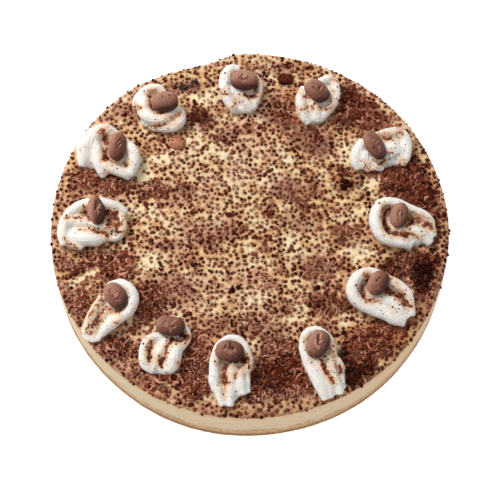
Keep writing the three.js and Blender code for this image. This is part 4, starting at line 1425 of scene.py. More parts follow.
@dataclass
class PipedSwirl:
    """One swirl of whipped cream, piped through a star nozzle."""

    number: int
    plan: SwirlPlan
    step: float = 0.9
    corners: int = 18
    closing: float = 1.35
    slimming: float = 0.4
    grain: float = 0.42
    cap: float = 0.8
    sink: float = 0.6
    rest_depth: float = 1.5
    rest_lean: float = 0.38
    root: float = 3.0
    lumps: float = 0.3
    ridge_height: float = 0.1
    ridge_spacing: float = 1.8
    ridge_twist: float = 0.05
    cocoa_level: float = 47.0
    hollow_rounds: int = 24

    @property
    def node(self) -> str:
        """The name of the swirl's solid."""
        return f"cream_swirl_{self.number:02d}"

    def _path(self, stations: Sequence[Station]) -> np.ndarray:
        """A smooth path through stations, with its ends rounded off.

        Args:
            stations: Rows of x, y, height above the top and radius.

        Returns:
            Rows of x, y, z and radius, in mm, a small step apart.
        """
        rows = np.array(stations, dtype=float)
        rows[:, 2] += CAKE.top
        padded = np.vstack([2 * rows[0] - rows[1], rows, 2 * rows[-1] - rows[-2]])
        path = []
        for before, start, end, after in zip(padded, padded[1:], padded[2:], padded[3:]):
            count = max(2, round(np.linalg.norm((end - start)[:3]) / self.step))
            for share in np.arange(count) / count:
                bend = (2 * start + (end - before) * share
                        + (2 * before - 5 * start + 4 * end - after) * share**2
                        + (3 * start - before - 3 * end + after) * share**3)
                path.append(bend / 2)
        path.append(rows[-1])
        path = np.array(path)
        return np.vstack([self._cap(path[0], path[1])[::-1], path, self._cap(path[-1], path[-2])])

    def _cap(self, end: np.ndarray, neighbour: np.ndarray) -> np.ndarray:
        """The rounded end of a rope: rows beyond its last one that get narrower.

        Args:
            end: The rope's last row.
            neighbour: The row next to it.

        Returns:
            The added rows.
        """
        away = (end - neighbour)[:3]
        away /= np.linalg.norm(away)
        turns = np.radians([25, 45, 62, 76, 86])
        rows = np.tile(end, (len(turns), 1))
        rows[:, :3] += away * (np.sin(turns) * self.cap * end[3])[:, None]
        rows[:, 3] *= np.cos(turns)
        return rows

    def _ropes(self) -> Object:
        """The paths of all ropes as one curve object.

        Returns:
            The object.
        """
        curve = bpy.data.curves.new(self.node + "_paths", "CURVE")
        curve.dimensions = "3D"
        for stations in (*self.plan.ropes, *self.plan.fill):
            path = self._path(stations)
            spline = curve.splines.new("POLY")
            spline.points.add(len(path) - 1)
            places = np.column_stack([path[:, :3] * MM, np.ones(len(path))])
            spline.points.foreach_set("co", places.ravel())
            spline.points.foreach_set("radius", (path[:, 3] + self.closing) * MM)
        return show(curve.name, curve)

    def mesh(self, piping: "RopePiping") -> Mesh:
        """Makes the swirl: ropes piped too fat, melted into one skin and shrunk to size.

        What lies closer together than twice the closing runs together, as soft cream does.

        Args:
            piping: What pipes ropes along paths.

        Returns:
            The swirl's skin.
        """
        ropes = self._ropes()
        piping.drive(ropes, self.corners)
        tubes = settle(ropes, self.node + "_ropes")
        self._rest(tubes)
        fat = self._melted(tubes, 3)
        move_points(fat, coordinates(fat) - normals(fat) * (self.closing + self.slimming))
        mesh = self._melted(fat, 2)
        mesh.name = f"swirl_{self.number:02d}"
        self._work_surface(mesh)
        shade_smooth(mesh)
        return mesh

    def _rest(self, tubes: Mesh) -> None:
        """Draws the ropes' lower halves down, so that the soft cream rests on the cake.

        Args:
            tubes: The piped ropes, with their points ring by ring.
        """
        paths = [self._path(stations) for stations in (*self.plan.ropes, *self.plan.fill)]
        rows = np.repeat(np.vstack(paths), self.corners, axis=0)
        points = coordinates(tubes)
        below = np.maximum(rows[:, 2] - points[:, 2], 0)
        height = rows[:, 2] - CAKE.top
        stretch = np.maximum(self.rest_depth * height / (rows[:, 3] + self.closing), 1)
        drop = np.minimum(below * (stretch - 1), np.maximum(height + self.root - below, 0))
        points[:, 1] += self.rest_lean * drop
        points[:, 2] -= drop
        move_points(tubes, points)

    def _melted(self, mesh: Mesh, rounds: int) -> Mesh:
        """One closed skin round a mesh, smoothed in some rounds.

        Args:
            mesh: The mesh to melt.
            rounds: How often it is smoothed.

        Returns:
            The skin.
        """
        piece = show(mesh.name, mesh)
        melt = piece.modifiers.new("melt", "REMESH")
        melt.mode = "VOXEL"
        melt.voxel_size = self.grain * MM
        soften = piece.modifiers.new("soften", "SMOOTH")
        soften.factor = 0.5
        soften.iterations = rounds
        return settle(piece, mesh.name)

    def _work_surface(self, mesh: Mesh) -> None:
        """Ridges the skin, makes it uneven, flattens its foot and finds where cocoa, painted shadow and
        painted warm shade lie.

        Args:
            mesh: The swirl's skin.
        """
        points = coordinates(mesh)
        out = normals(mesh)
        hollow = self._hollowness(mesh, points, out, self.hollow_rounds)
        rough = lattice_noise(points, 4.5, 40 + self.number) + 0.45 * lattice_noise(points, 1.7, 60)
        height = self.lumps * rough + self.ridge_height * self._ridges(points)
        points += out * height[:, None]
        points[:, 2] = np.maximum(points[:, 2], CAKE.top - self.sink)
        move_points(mesh, points)
        seen = SIGHT.on_level(points, self.cocoa_level)
        seen += 0.9 * np.stack([lattice_noise(points, 2.4, seed) for seed in (61, 62)], 1)
        # The strokes are cocoa and, beside the beans, painted shadow.
        cocoa = sum(stroke.amount * stroke.share(seen, 0.3) for stroke in self.plan.dust)
        tinted = sum(stroke.amount * stroke.share(seen, 2.0) for stroke in self.plan.dust)
        facing_up = smooth_step(out[:, 2], -0.2, 0.4)
        store(mesh, "cocoa", np.clip(cocoa * (0.75 + 0.25 * hollow) * facing_up, 0, 1.4))
        # Painted warm shade: the hollows get the peach tint on top of the cocoa's fringe.
        store(mesh, "tinted", np.clip(tinted + 0.5 * hollow, 0, 1.2))
        strewn = 0.5 + 0.5 * lattice_noise(points, 7.0, 63)
        store(mesh, "specked", facing_up * (0.1 + 0.25 * strewn + 0.4 * np.clip(tinted, 0, 1)))

    def _ridges(self, points: np.ndarray) -> np.ndarray:
        """The nozzle's ridges, -1 to 1, which run along the nearest rope.

        Args:
            points: The skin's points, in mm.

        Returns:
            The ridges' height at each.
        """
        paths = [self._path(stations) for stations in self.plan.ropes]
        rows = np.vstack(paths)
        along = np.vstack([np.gradient(path[:, :3], axis=0) for path in paths])
        along /= np.linalg.norm(along, axis=1, keepdims=True)
        run = np.concatenate([np.arange(len(path)) * self.step for path in paths])
        squares = ((points**2).sum(1)[:, None] - 2 * points @ rows[:, :3].T
                   + (rows[:, :3] ** 2).sum(1)[None])
        nearest = np.argmin(squares - (rows[:, 3] ** 2)[None], axis=1)
        off = points - rows[nearest, :3]
        tangent, radius = along[nearest], rows[nearest, 3]
        side = np.cross(tangent, [0.0, 0.0, 1.0])
        side /= np.maximum(np.linalg.norm(side, axis=1, keepdims=True), 1e-6)
        angle = np.arctan2((off * side).sum(1), (off * np.cross(side, tangent)).sum(1))
        count = np.round(2 * math.pi * np.mean(radius) / self.ridge_spacing)
        wave = np.cos(count * angle + self.ridge_twist * run[nearest] * count)
        close = 1 - smooth_step(np.linalg.norm(off, axis=1) / radius, 1.15, 1.6)
        return wave * close

    @staticmethod
    def _hollowness(mesh: Mesh, points: np.ndarray, out: np.ndarray, rounds: int) -> np.ndarray:
        """How deep each point lies below its surroundings, 0 to 1, blurred in some rounds.

        Args:
            mesh: The swirl's skin.
            points: Its points, in mm.
            out: The outward direction at each.
            rounds: How often the points are averaged.

        Returns:
            The depth at each.
        """
        edges = np.empty(len(mesh.edges) * 2, dtype=np.int64)
        mesh.edges.foreach_get("vertices", edges)
        first, second = edges.reshape(-1, 2).T
        count = np.bincount(edges, minlength=len(points))[:, None]
        blurred = points.copy()
        for _ in range(rounds):
            total = np.zeros_like(points)
            for axis in range(3):
                total[:, axis] += np.bincount(first, blurred[second, axis], len(points))
                total[:, axis] += np.bincount(second, blurred[first, axis], len(points))
            blurred = total / count
        depth = ((blurred - points) * out).sum(1)
        return smooth_step(depth, 0.02, 0.45)

    def build(self, piping: "RopePiping", finish: Material) -> Object:
        """Makes the finished swirl.

        Args:
            piping: What pipes ropes along paths.
            finish: The cream's material.

        Returns:
            The finished piece.
        """
        mesh = self.mesh(piping)
        mesh.materials.clear()
        mesh.materials.append(finish)
        return finish_piece(show(mesh.name, mesh), "whipped_cream", self.node)


class Inputs:
    """The inputs of a Geometry Nodes tree, set on a modifier by their identifiers."""

    def __init__(self, tree: NodeTree) -> None:
        """Starts with the geometry sockets that every modifier needs.

        Args:
            tree: The tree.
        """
        self.tree = tree
        self.identifiers: dict[str, str] = {}
        tree.interface.new_socket("Geometry", in_out="OUTPUT", socket_type="NodeSocketGeometry")
        tree.interface.new_socket("Geometry", in_out="INPUT", socket_type="NodeSocketGeometry")

    def add(self, name: str, kind: str) -> None:
        """Adds an input."""
        socket = self.tree.interface.new_socket(name, in_out="INPUT", socket_type=kind)
        self.identifiers[name] = socket.identifier

    def apply(self, piece: Object, values: dict[str, Any]) -> None:
        """Puts the tree on an object with these values.

        Args:
            piece: The object.
            values: The inputs' values, by name.
        """
        modifier = piece.modifiers.new(self.tree.name, "NODES")
        modifier.node_group = self.tree
        for name, value in values.items():
            modifier[self.identifiers[name]] = value


class RopePiping:
    """Geometry Nodes that pipe a round rope along each path of a curve object."""

    def __init__(self, material: Material) -> None:
        """Writes the tree.

        Args:
            material: The ropes' material.
        """
        tree = bpy.data.node_groups.new("piping", "GeometryNodeTree")
        self.inputs = Inputs(tree)
        self.material = material
        for name, kind in (("Corners", "NodeSocketInt"), ("Material", "NodeSocketMaterial")):
            self.inputs.add(name, kind)
        nodes = Nodes(tree)
        given = nodes.add("NodeGroupInput").outputs
        nozzle = nodes.add("GeometryNodeCurvePrimitiveCircle", {"mode": "RADIUS"},
                           {"Resolution": given["Corners"], "Radius": 1.0})
        radius = nodes.add("GeometryNodeInputRadius").outputs[0]
        rope = nodes.add("GeometryNodeCurveToMesh", None,
                         {"Curve": given["Geometry"], "Profile Curve": nozzle.outputs["Curve"],
                          "Scale": radius, "Fill Caps": True})
        real = nodes.add("GeometryNodeRealizeInstances", None, {"Geometry": rope.outputs["Mesh"]})
        dressed = nodes.add("GeometryNodeSetMaterial", None,
                            {"Geometry": real.outputs[0], "Material": given["Material"]})
        nodes.add("NodeGroupOutput", None, {"Geometry": dressed.outputs[0]})

    def drive(self, paths: Object, corners: int) -> None:
        """Pipes ropes with so many corners along a curve object's paths, with its radii."""
        self.inputs.apply(paths, {"Corners": corners, "Material": self.material})


# ---- Scattered chocolate ------------------------------------------------------------
class Shape(Enum):
    """The plain forms that scattered pieces start from, one unit across."""

    LUMP = "lump"
    CRUMB = "crumb"
    SHAVING = "shaving"

    def mesh(self) -> Mesh:
        """Makes the form.

        Returns:
            The form's mesh.
        """
        maker: Callable[[], tuple[np.ndarray, list[tuple[int, ...]]]] = {
            Shape.LUMP: self._lump, Shape.CRUMB: self._crumb, Shape.SHAVING: self._shaving}[self]
        points, faces = maker()
        return new_mesh(f"unit_{self.value}", points / MM, faces)

    @staticmethod
    def _lump() -> tuple[np.ndarray, list[tuple[int, ...]]]:
        """Twenty faces all round.

        Returns:
            The points and the faces.
        """
        golden = (1 + math.sqrt(5)) / 2
        points = np.array([(-1, golden, 0), (1, golden, 0), (-1, -golden, 0), (1, -golden, 0),
                           (0, -1, golden), (0, 1, golden), (0, -1, -golden), (0, 1, -golden),
                           (golden, 0, -1), (golden, 0, 1), (-golden, 0, -1), (-golden, 0, 1)])
        faces = [(0, 11, 5), (0, 5, 1), (0, 1, 7), (0, 7, 10), (0, 10, 11), (1, 5, 9), (5, 11, 4),
                 (11, 10, 2), (10, 7, 6), (7, 1, 8), (3, 9, 4), (3, 4, 2), (3, 2, 6), (3, 6, 8),
                 (3, 8, 9), (4, 9, 5), (2, 4, 11), (6, 2, 10), (8, 6, 7), (9, 8, 1)]
        return points / np.linalg.norm(points[0]) / 2, faces

    @staticmethod
    def _crumb() -> tuple[np.ndarray, list[tuple[int, ...]]]:
        """Eight faces, a little skewed.

        Returns:
            The points and the faces.
        """
        points = np.array([(0.5, 0.1, 0), (-0.5, -0.1, 0.05), (0, 0.45, 0.1), (0.1, -0.45, 0),
                           (0, 0.05, 0.4), (0.05, 0, -0.4)])
        faces = [(0, 2, 4), (2, 1, 4), (1, 3, 4), (3, 0, 4), (2, 0, 5), (1, 2, 5), (3, 1, 5),
                 (0, 3, 5)]
        return points, faces

    @staticmethod
    def _shaving() -> tuple[np.ndarray, list[tuple[int, ...]]]:
        """A thin strand, curled round in the level, with a ridge along its upper side.

        Returns:
            The points and the faces.
        """
        turns = np.radians(np.linspace(-45, 45, 5))
        widths = (0.04, 0.1, 0.12, 0.1, 0.04)
        curl, rise = 0.6, 1.6
        points = []
        for turn, width in zip(turns, widths):
            for reach, height in ((curl - width, 0), (curl + width, 0), (curl, rise * width)):
                points.append((reach * math.cos(turn) - curl / 2, reach * math.sin(turn), height))
        faces = [(0, 1, 2)]
        last = 3 * (len(widths) - 1)
        for ring in range(0, last, 3):
            faces += [(ring + b, ring + a, ring + a + 3, ring + b + 3)
                      for a, b in ((0, 1), (1, 2), (2, 0))]
        faces.append((last + 2, last + 1, last))
        return np.array(points), faces


@dataclass(frozen=True)
class Strewing:
    """How one kind of chocolate is strewn; lengths in mm, tilt and freedom to turn in degrees.

    Without spacing, the pieces lie at the even places that the cream's finish knows.
    """

    name: str
    shape: Shape
    field: str
    spacing: float | None
    sizes: tuple[float, float]
    tones: tuple[float, float]
    tilt: float
    rises: tuple[float, float]
    ragged: float
    seed: int
    freedom: float = 180.0


class Strewer:
    """Geometry Nodes that strew one kind of piece over a bed, by a number on its points."""

    FIELDS = (("Shape", "NodeSocketObject"), ("Field", "NodeSocketString"),
              ("Even", "NodeSocketBool"), ("Cell", "NodeSocketFloat"),
              ("Spacing", "NodeSocketFloat"), ("Most", "NodeSocketFloat"),
              ("Smallest", "NodeSocketFloat"), ("Largest", "NodeSocketFloat"),
              ("Tilt", "NodeSocketFloat"), ("Freedom", "NodeSocketFloat"), ("Lowest", "NodeSocketFloat"),
              ("Highest", "NodeSocketFloat"), ("Darkest", "NodeSocketFloat"),
              ("Lightest", "NodeSocketFloat"), ("Ragged", "NodeSocketFloat"),
              ("Seed", "NodeSocketInt"), ("Material", "NodeSocketMaterial"))
    REACH = 270 * MM
    CANDIDATES = 170
    ABOVE = 80 * MM
    SAME_SPOT = 0.2 * MM

    def __init__(self) -> None:
        """Writes the tree."""
        tree = bpy.data.node_groups.new("strewing", "GeometryNodeTree")
        self.inputs = Inputs(tree)
        for name, kind in self.FIELDS:
            self.inputs.add(name, kind)
        self.nodes = Nodes(tree)
        self.given = self.nodes.add("NodeGroupInput").outputs
        given, nodes = self.given, self.nodes
        spots = nodes.add("GeometryNodeSwitch", {"input_type": "GEOMETRY"},
                          {"Switch": given["Even"], "False": self._loose(), "True": self._even()})
        uneven = nodes.add("FunctionNodeRandomValue", {"data_type": "FLOAT_VECTOR"},
                           {"Min": (0.75, 0.75, 0.65), "Max": (1.25, 1.15, 1.1), "Seed": 11})
        region = nodes.add("ShaderNodeTexNoise", None, {"Scale": 1 / (18 * MM), "Detail": 0.0})
        size = (self._random(given["Smallest"], given["Largest"], 7)
                * (0.4 + Signal(nodes, self._share()) * 1.1)
                * (0.5 + nodes.value(region) * 1.0))
        scale = nodes.vector("SCALE", uneven.outputs[0], size)
        shape = nodes.add("GeometryNodeObjectInfo", None, {"Object": given["Shape"]})
        pieces = nodes.add("GeometryNodeInstanceOnPoints", None,
                           {"Points": spots.outputs[0], "Instance": shape.outputs["Geometry"],
                            "Rotation": self._rotation(), "Scale": scale})
        # Granules in the painted shadows are made darker, as painted shadow.
        tone = self._random(given["Darkest"], given["Lightest"], 13) - Signal(nodes, nodes.named("gloom"))
        toned = nodes.keep(pieces.outputs[0], "tint", tone, "INSTANCE")
        real = nodes.add("GeometryNodeRealizeInstances", None, {"Geometry": toned})
        dressed = nodes.add("GeometryNodeSetMaterial", None,
                            {"Geometry": self._ragged(real.outputs[0]), "Material": given["Material"]})
        nodes.add("NodeGroupOutput", None, {"Geometry": dressed.outputs[0]})

    def _share(self) -> NodeSocket:
        """The number that says how thickly the pieces lie."""
        return self.nodes.named(self.given["Field"])

    def _loose(self) -> NodeSocket:
        """Places strewn at random over the bed, a spacing apart or more.

        Returns:
            The places.
        """
        given, nodes = self.given, self.nodes
        spots = nodes.add("GeometryNodeDistributePointsOnFaces", {"distribute_method": "POISSON"},
                          {"Mesh": given["Geometry"], "Distance Min": given["Spacing"],
                           "Density Max": given["Most"], "Density Factor": self._share(),
                           "Seed": given["Seed"]})
        rise = self._random(given["Lowest"], given["Highest"], 5)
        up = nodes.vector("SCALE", spots.outputs["Normal"], rise)
        return nodes.placed(spots.outputs["Points"], Offset=up)

    def _even(self) -> NodeSocket:
        """The even places that the cream's finish knows, dropped onto the bed from above.

        Returns:
            The places.
        """
        given, nodes = self.given, self.nodes
        grid = nodes.add("GeometryNodeMeshGrid", None,
                         {"Size X": self.REACH, "Size Y": self.REACH,
                          "Vertices X": self.CANDIDATES, "Vertices Y": self.CANDIDATES})
        loose = nodes.add("GeometryNodeMeshToPoints", None, {"Mesh": grid.outputs["Mesh"]})
        cells = nodes.add("ShaderNodeTexVoronoi", {"voronoi_dimensions": "2D"},
                          {"Vector": nodes.add("GeometryNodeInputPosition").outputs[0],
                           "Scale": Signal(nodes, given["Cell"]) ** -1.0,
                           "Randomness": EVEN_DISORDER})
        chance = nodes.add("ShaderNodeSeparateXYZ", None, {0: cells.outputs["Color"]})
        chanced = nodes.keep(loose.outputs[0], "chance", chance.outputs[0])
        high = nodes.vector("ADD", cells.outputs["Position"], (0.0, 0.0, self.ABOVE))
        single = nodes.add("GeometryNodeMergeByDistance", None,
                           {"Geometry": nodes.placed(chanced, Position=high),
                            "Distance": self.SAME_SPOT})
        ray = nodes.add("GeometryNodeRaycast", {"data_type": "FLOAT"},
                        {"Target Geometry": given["Geometry"], "Attribute": self._share(),
                         "Ray Direction": (0.0, 0.0, -1.0), "Ray Length": self.ABOVE})
        cover = Signal(nodes, ray.outputs["Attribute"]).between(0.0, GRANULE_COVER)
        absent = Signal(nodes, nodes.named("chance")) - cover * Signal(nodes, ray.outputs["Is Hit"])
        rise = nodes.add("ShaderNodeCombineXYZ", None,
                         {2: self._random(given["Lowest"], given["Highest"], 5)})
        landed = nodes.vector("ADD", ray.outputs["Hit Position"], rise.outputs[0])
        kept = nodes.add("GeometryNodeDeleteGeometry", {"domain": "POINT"},
                         {"Geometry": single.outputs[0], "Selection": absent.above(0.0)})
        shared = nodes.keep(kept.outputs[0], given["Field"], ray.outputs["Attribute"])
        return nodes.placed(shared, Position=landed)

    def _random(self, low: Any, high: Any, step: int) -> Signal:
        """A number drawn for each piece, between two ends.

        Args:
            low: The lower end.
            high: The upper end.
            step: What is added to the kind's seed.

        Returns:
            The number.
        """
        seed = Signal(self.nodes, self.given["Seed"]) + float(step)
        node = self.nodes.add("FunctionNodeRandomValue", {"data_type": "FLOAT"},
                              {"Min": low, "Max": high, "Seed": seed})
        return Signal(self.nodes, next(s for s in node.outputs if s.enabled))

    def _rotation(self) -> NodeSocket:
        """Turns each piece as its neighbours lie or at random, and tilts it.

        Returns:
            The rotation.
        """
        given, nodes = self.given, self.nodes
        other = Signal(nodes, given["Tilt"]) * -1.0
        lie = nodes.add("ShaderNodeTexNoise", None, {"Scale": 1 / (9 * MM), "Detail": 0.0})
        along = nodes.value(lie) * (6 * math.pi)
        low = nodes.add("ShaderNodeCombineXYZ", None,
                        {0: other, 1: other, 2: along - given["Freedom"]})
        high = nodes.add("ShaderNodeCombineXYZ", None,
                         {0: given["Tilt"], 1: given["Tilt"], 2: along + given["Freedom"]})
        turn = nodes.add("FunctionNodeRandomValue", {"data_type": "FLOAT_VECTOR"},
                         {"Min": low.outputs[0], "Max": high.outputs[0], "Seed": given["Seed"]})
        return nodes.add("FunctionNodeEulerToRotation", None, {0: turn.outputs[0]}).outputs[0]

    def _ragged(self, loose: NodeSocket) -> NodeSocket:
        """Pulls the pieces' points about, so that no two are alike.

        Args:
            loose: The pieces.

        Returns:
            The uneven pieces.
        """
        nodes = self.nodes
        noise = nodes.add("ShaderNodeTexNoise", None, {"Scale": 1 / (1.3 * MM), "Detail": 1.0})
        centred = nodes.vector("SUBTRACT", noise.outputs["Color"], (0.5, 0.5, 0.5))
        return nodes.placed(loose, Offset=nodes.vector("SCALE", centred, self.given["Ragged"]))

    def strew(self, bed: Mesh, kind: Strewing, material: Material) -> Mesh:
        """Strews one kind over a bed.

        Args:
            bed: The mesh to strew on, with the kind's field on its points.
            kind: What to strew, and how.
            material: The pieces' finish.

        Returns:
            The pieces as one mesh.
        """
        shape = show(f"{kind.name}_shape", kind.shape.mesh())
        carrier = show(f"{kind.name}_bed", bed)
        spacing = (kind.spacing or 1.0) * MM
        self.inputs.apply(carrier, {
            "Shape": shape, "Field": kind.field, "Even": kind.spacing is None,
            "Cell": EVEN_CELL * MM, "Spacing": spacing, "Most": 1.0 / spacing**2,
            "Smallest": kind.sizes[0] * MM, "Largest": kind.sizes[1] * MM,
            "Tilt": math.radians(kind.tilt), "Freedom": math.radians(kind.freedom),
            "Lowest": kind.rises[0] * MM, "Highest": kind.rises[1] * MM,
            "Darkest": kind.tones[0], "Lightest": kind.tones[1],
            "Ragged": 2 * kind.ragged * MM, "Seed": kind.seed, "Material": material})
        mesh = settle(carrier, kind.name)
        bpy.data.objects.remove(shape)
        return mesh


TOP_KINDS = (
    Strewing("even_granules", Shape.LUMP, "strewn", None, (1.5, 2.9), (0.0, 0.6), 180, (-0.4, 0.2),
             0.6, 101),
    Strewing("dark_granules", Shape.LUMP, "drifted", 2.4, (0.9, 1.7), (0.05, 0.5), 180, (-0.2, 0.6),
             0.4, 202),
    Strewing("fine_crumbs", Shape.CRUMB, "dusted", 2.2, (0.7, 1.6), (0.1, 0.9), 180, (-0.1, 0.3),
             0.1, 303),
    Strewing("milky_flakes", Shape.CRUMB, "drifted", 2.3, (1.2, 2.3), (0.4, 0.9), 35, (0.2, 1.0),
             0.3, 606),
    Strewing("shavings", Shape.SHAVING, "drifted", 1.75, (2.6, 4.6), (0.28, 1.0), 22, (0.2, 1.1),
             0.35, 404, 100),
    Strewing("pale_curls", Shape.SHAVING, "curled", 2.3, (3.4, 5.6), (0.7, 1.1), 12, (0.2, 0.8),
             0.3, 707),
)
SWIRL_SPECKS = Strewing("swirl_specks", Shape.LUMP, "specked", 2.0, (0.8, 1.7), (0.2, 0.8), 180,
                        (-0.35, 0.05), 0.3, 505)


def skin_of(name: str) -> BVHTree:
    """A CAD node's surface, for rays.

    Args:
        name: The node.

    Returns:
        A tree of its faces, in metres.
    """
    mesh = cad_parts[name].data
    return BVHTree.FromPolygons([vertex.co for vertex in mesh.vertices],
                                [tuple(polygon.vertices) for polygon in mesh.polygons])


def joined(meshes: Sequence[Mesh], field: str) -> Mesh:
    """Several meshes as one bed, with one of their numbers kept.

    Args:
        meshes: The meshes to join.
        field: The number to keep.

    Returns:
        The bed.
    """
    points, faces, values, start = [], [], [], 0
    for mesh in meshes:
        points.append(coordinates(mesh))
        faces += [tuple(start + corner for corner in polygon.vertices) for polygon in mesh.polygons]
        values.append(stored(mesh, field))
        start += len(mesh.vertices)
    bed = new_mesh("bed", np.vstack(points), faces)
    store(bed, field, np.concatenate(values))
    return bed


@dataclass
class GratedChocolate:
    """All that is strewn over the coffee cream, kept clear of what lies on it."""

    strewer: Strewer
    standing: tuple[str, ...]

    def bed(self, layer: Mesh) -> Mesh:
        """A copy of the cream's skin that says how much of each kind lies where.

        Args:
            layer: The cream's skin.

        Returns:
            The bed.
        """
        bed = layer.copy()
        points = coordinates(bed)
        strewn, wall = stored(bed, "strewn"), stored(bed, "wall")
        spill = smooth_step(points[:, 2], CAKE.top - 4.0, CAKE.top - 1.0)
        spill *= smooth_step(lattice_noise(points, 6.0, 71), -0.5, 0.4)
        open_top = self._open(points)
        in_front = 0.2 + 0.8 * smooth_step(-points[:, 1], 10, 60)
        strewn = np.maximum(strewn, 0.45 * spill * wall * in_front) * open_top
        bed.attributes["strewn"].data.foreach_set("value", strewn.astype(np.float32))
        inside = CAKE.rim(np.arctan2(points[:, 1], points[:, 0])) - np.hypot(points[:, 0], points[:, 1])
        store(bed, "drifted", smooth_step(strewn, 0.48, 0.85) * smooth_step(inside, 0.6, 3.0))
        store(bed, "dusted", np.clip(0.25 + strewn, 0, 1) * (1 - wall) * open_top)
        store(bed, "curled", CoffeeCream.tally(points, CURLED) * (1 - wall) * open_top)
        return bed

    def _open(self, points: np.ndarray) -> np.ndarray:
        """1 where nothing stands on the cream, and 0 under the swirls and the bits.

        Args:
            points: The bed's points, in mm.

        Returns:
            1 or 0 for each point.
        """
        trees = [skin_of(name) for name in self.standing]
        boxes = [[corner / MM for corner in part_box(name)] for name in self.standing]
        is_open = np.ones(len(points))
        above = Vector((0, 0, 1))
        for tree, (low, high) in zip(trees, boxes):
            near = np.nonzero((points[:, 0] > low.x) & (points[:, 0] < high.x)
                              & (points[:, 1] > low.y) & (points[:, 1] < high.y)
                              & (points[:, 2] > CAKE.top - 6))[0]
            for index in near:
                x, y = points[index, :2] * MM
                if tree.ray_cast(Vector((x, y, 0)), above)[0] is not None:
                    is_open[index] = 0
        return is_open

    def build(self, layer: Mesh, finish: Material) -> list[Object]:
        """Strews every kind and returns the pieces.

        Args:
            layer: The cream's skin.
            finish: The pieces' material.

        Returns:
            One piece for each kind.
        """
        bed = self.bed(layer)
        pieces = []
        for kind in TOP_KINDS:
            mesh = self.strewer.strew(bed, kind, finish)
            pieces.append(finish_piece(show(kind.name, mesh), "grated_chocolate"))
        return pieces


@dataclass
class LargeShreds:
    """The biggest shreds and grains, where the coffee cream's solid has them."""

    count: int = 100
    lengths: tuple[float, float] = (3.4, 5.2)
    widths: tuple[float, float] = (2.0, 3.0)
    heights: tuple[float, float] = (1.9, 2.7)
    rim_margin: float = 4.0
    clearance: float = 0.6
    swing: float = 0.2
    seed: int = 12
    cream_top: float = 39.0
    lift: float = 0.3
    ragged: float = 0.5
    ball_cuts: int = 2
    grain_tone: float = -0.5
    shred_tone: tuple[float, float] = (0.15, 0.5)
    grains: tuple[tuple[float, float, float], ...] = (
        (62, 29, 4.8), (66, 31, 4.2), (63.5, 33, 4.4), (-11, -44, 4.2), (-7, -42, 3.6),
        (44, -42, 3.6))

    def _draws(self) -> Iterable[float]:
        """The same endless row of numbers from 0 to 1 that the solid is made with.

        Returns:
            The numbers, one after another.
        """
        state = self.seed
        while True:
            state = (state * 1664525 + 1013904223) % 2**32
            yield state / 2**32

    def _places(self, trees: Sequence[BVHTree]) -> list[tuple[float, ...]]:
        """Each shred as x, y, length, width, height and turn in degrees.

        Args:
            trees: The surfaces of what stands on the cream.

        Returns:
            One row for each grain and shred.
        """
        draw = self._draws()
        golden_angle = math.pi * (3 - math.sqrt(5))
        places = [(x, y, size, size, size, x) for x, y, size in self.grains]
        for number in range(self.count):
            angle = number * golden_angle + self.swing * next(draw)
            radius = (CAKE.radius - self.rim_margin) * math.sqrt((number + next(draw)) / self.count)
            x, y = radius * math.cos(angle), radius * math.sin(angle)
            length, width, height = (low + (high - low) * next(draw)
                                     for low, high in (self.lengths, self.widths, self.heights))
            turn = 360 * next(draw)
            inside = radius < CAKE.rim(np.array([angle]))[0] - self.rim_margin
            spot = Vector((x, y, self.cream_top)) * MM
            reach = (length / 2 + self.clearance) * MM
            if inside and all(tree.find_nearest(spot, reach)[0] is None for tree in trees):
                places.append((x, y, length, width, height, turn))
        return places

    def build(self, trees: Sequence[BVHTree], finish: Material) -> Object:
        """Makes all large shreds as one piece.

        Args:
            trees: The surfaces of what stands on the cream.
            finish: The shreds' material.

        Returns:
            The piece.
        """
        ball = ball_mesh("ball", self.ball_cuts, 0.5)
        unit = coordinates(ball) * MM
        triangles = np.array([tuple(polygon.vertices) for polygon in ball.polygons])
        points, faces, tones = [], [], []
        for number, (x, y, length, width, height, turn) in enumerate(self._places(trees)):
            lump = unit * np.array([length, width, height])
            lump += self.ragged * np.stack([lattice_noise(unit + number * 3.1, 0.35, 80 + axis)
                                            for axis in range(3)], 1)
            cos, sin = math.cos(math.radians(turn)), math.sin(math.radians(turn))
            spun = np.stack([lump[:, 0] * cos - lump[:, 1] * sin,
                             lump[:, 0] * sin + lump[:, 1] * cos, lump[:, 2]], 1)
            faces.append(triangles + len(unit) * number)
            points.append(spun + np.array([x, y, self.cream_top + self.lift]))
            darkest, spread = self.shred_tone
            is_grain = number < len(self.grains)
            tone = self.grain_tone if is_grain else darkest + spread * ((number * 0.618) % 1)
            tones.append(np.full(len(unit), tone))
        mesh = new_mesh("large_shreds", np.vstack(points), np.vstack(faces).tolist())
        store(mesh, "tint", np.concatenate(tones))
        mesh.materials.append(finish)
        return finish_piece(show("large_shreds", mesh), "grated_chocolate")


# ---- Chocolate coffee beans ---------------------------------------------------------
@dataclass(frozen=True)
class BeanPlan:
    """One bean: how it lies, in degrees, its size and the marks that show on it.

    Marks of a positive amount are raised bars, painted pale as highlights; those of a negative amount are
    dents, painted dark as shade.
    The shade is painted light: the direction in which the bean is painted darker, in degrees from +X, how
    far, and how pale its middle is. The bean is oval at a squareness of 1 and gets boxier below that.
    """

    turn: float
    lean: float
    length: float
    width: float
    shade: tuple[float, float, float]
    squareness: float
    marks: tuple[Stroke, ...]


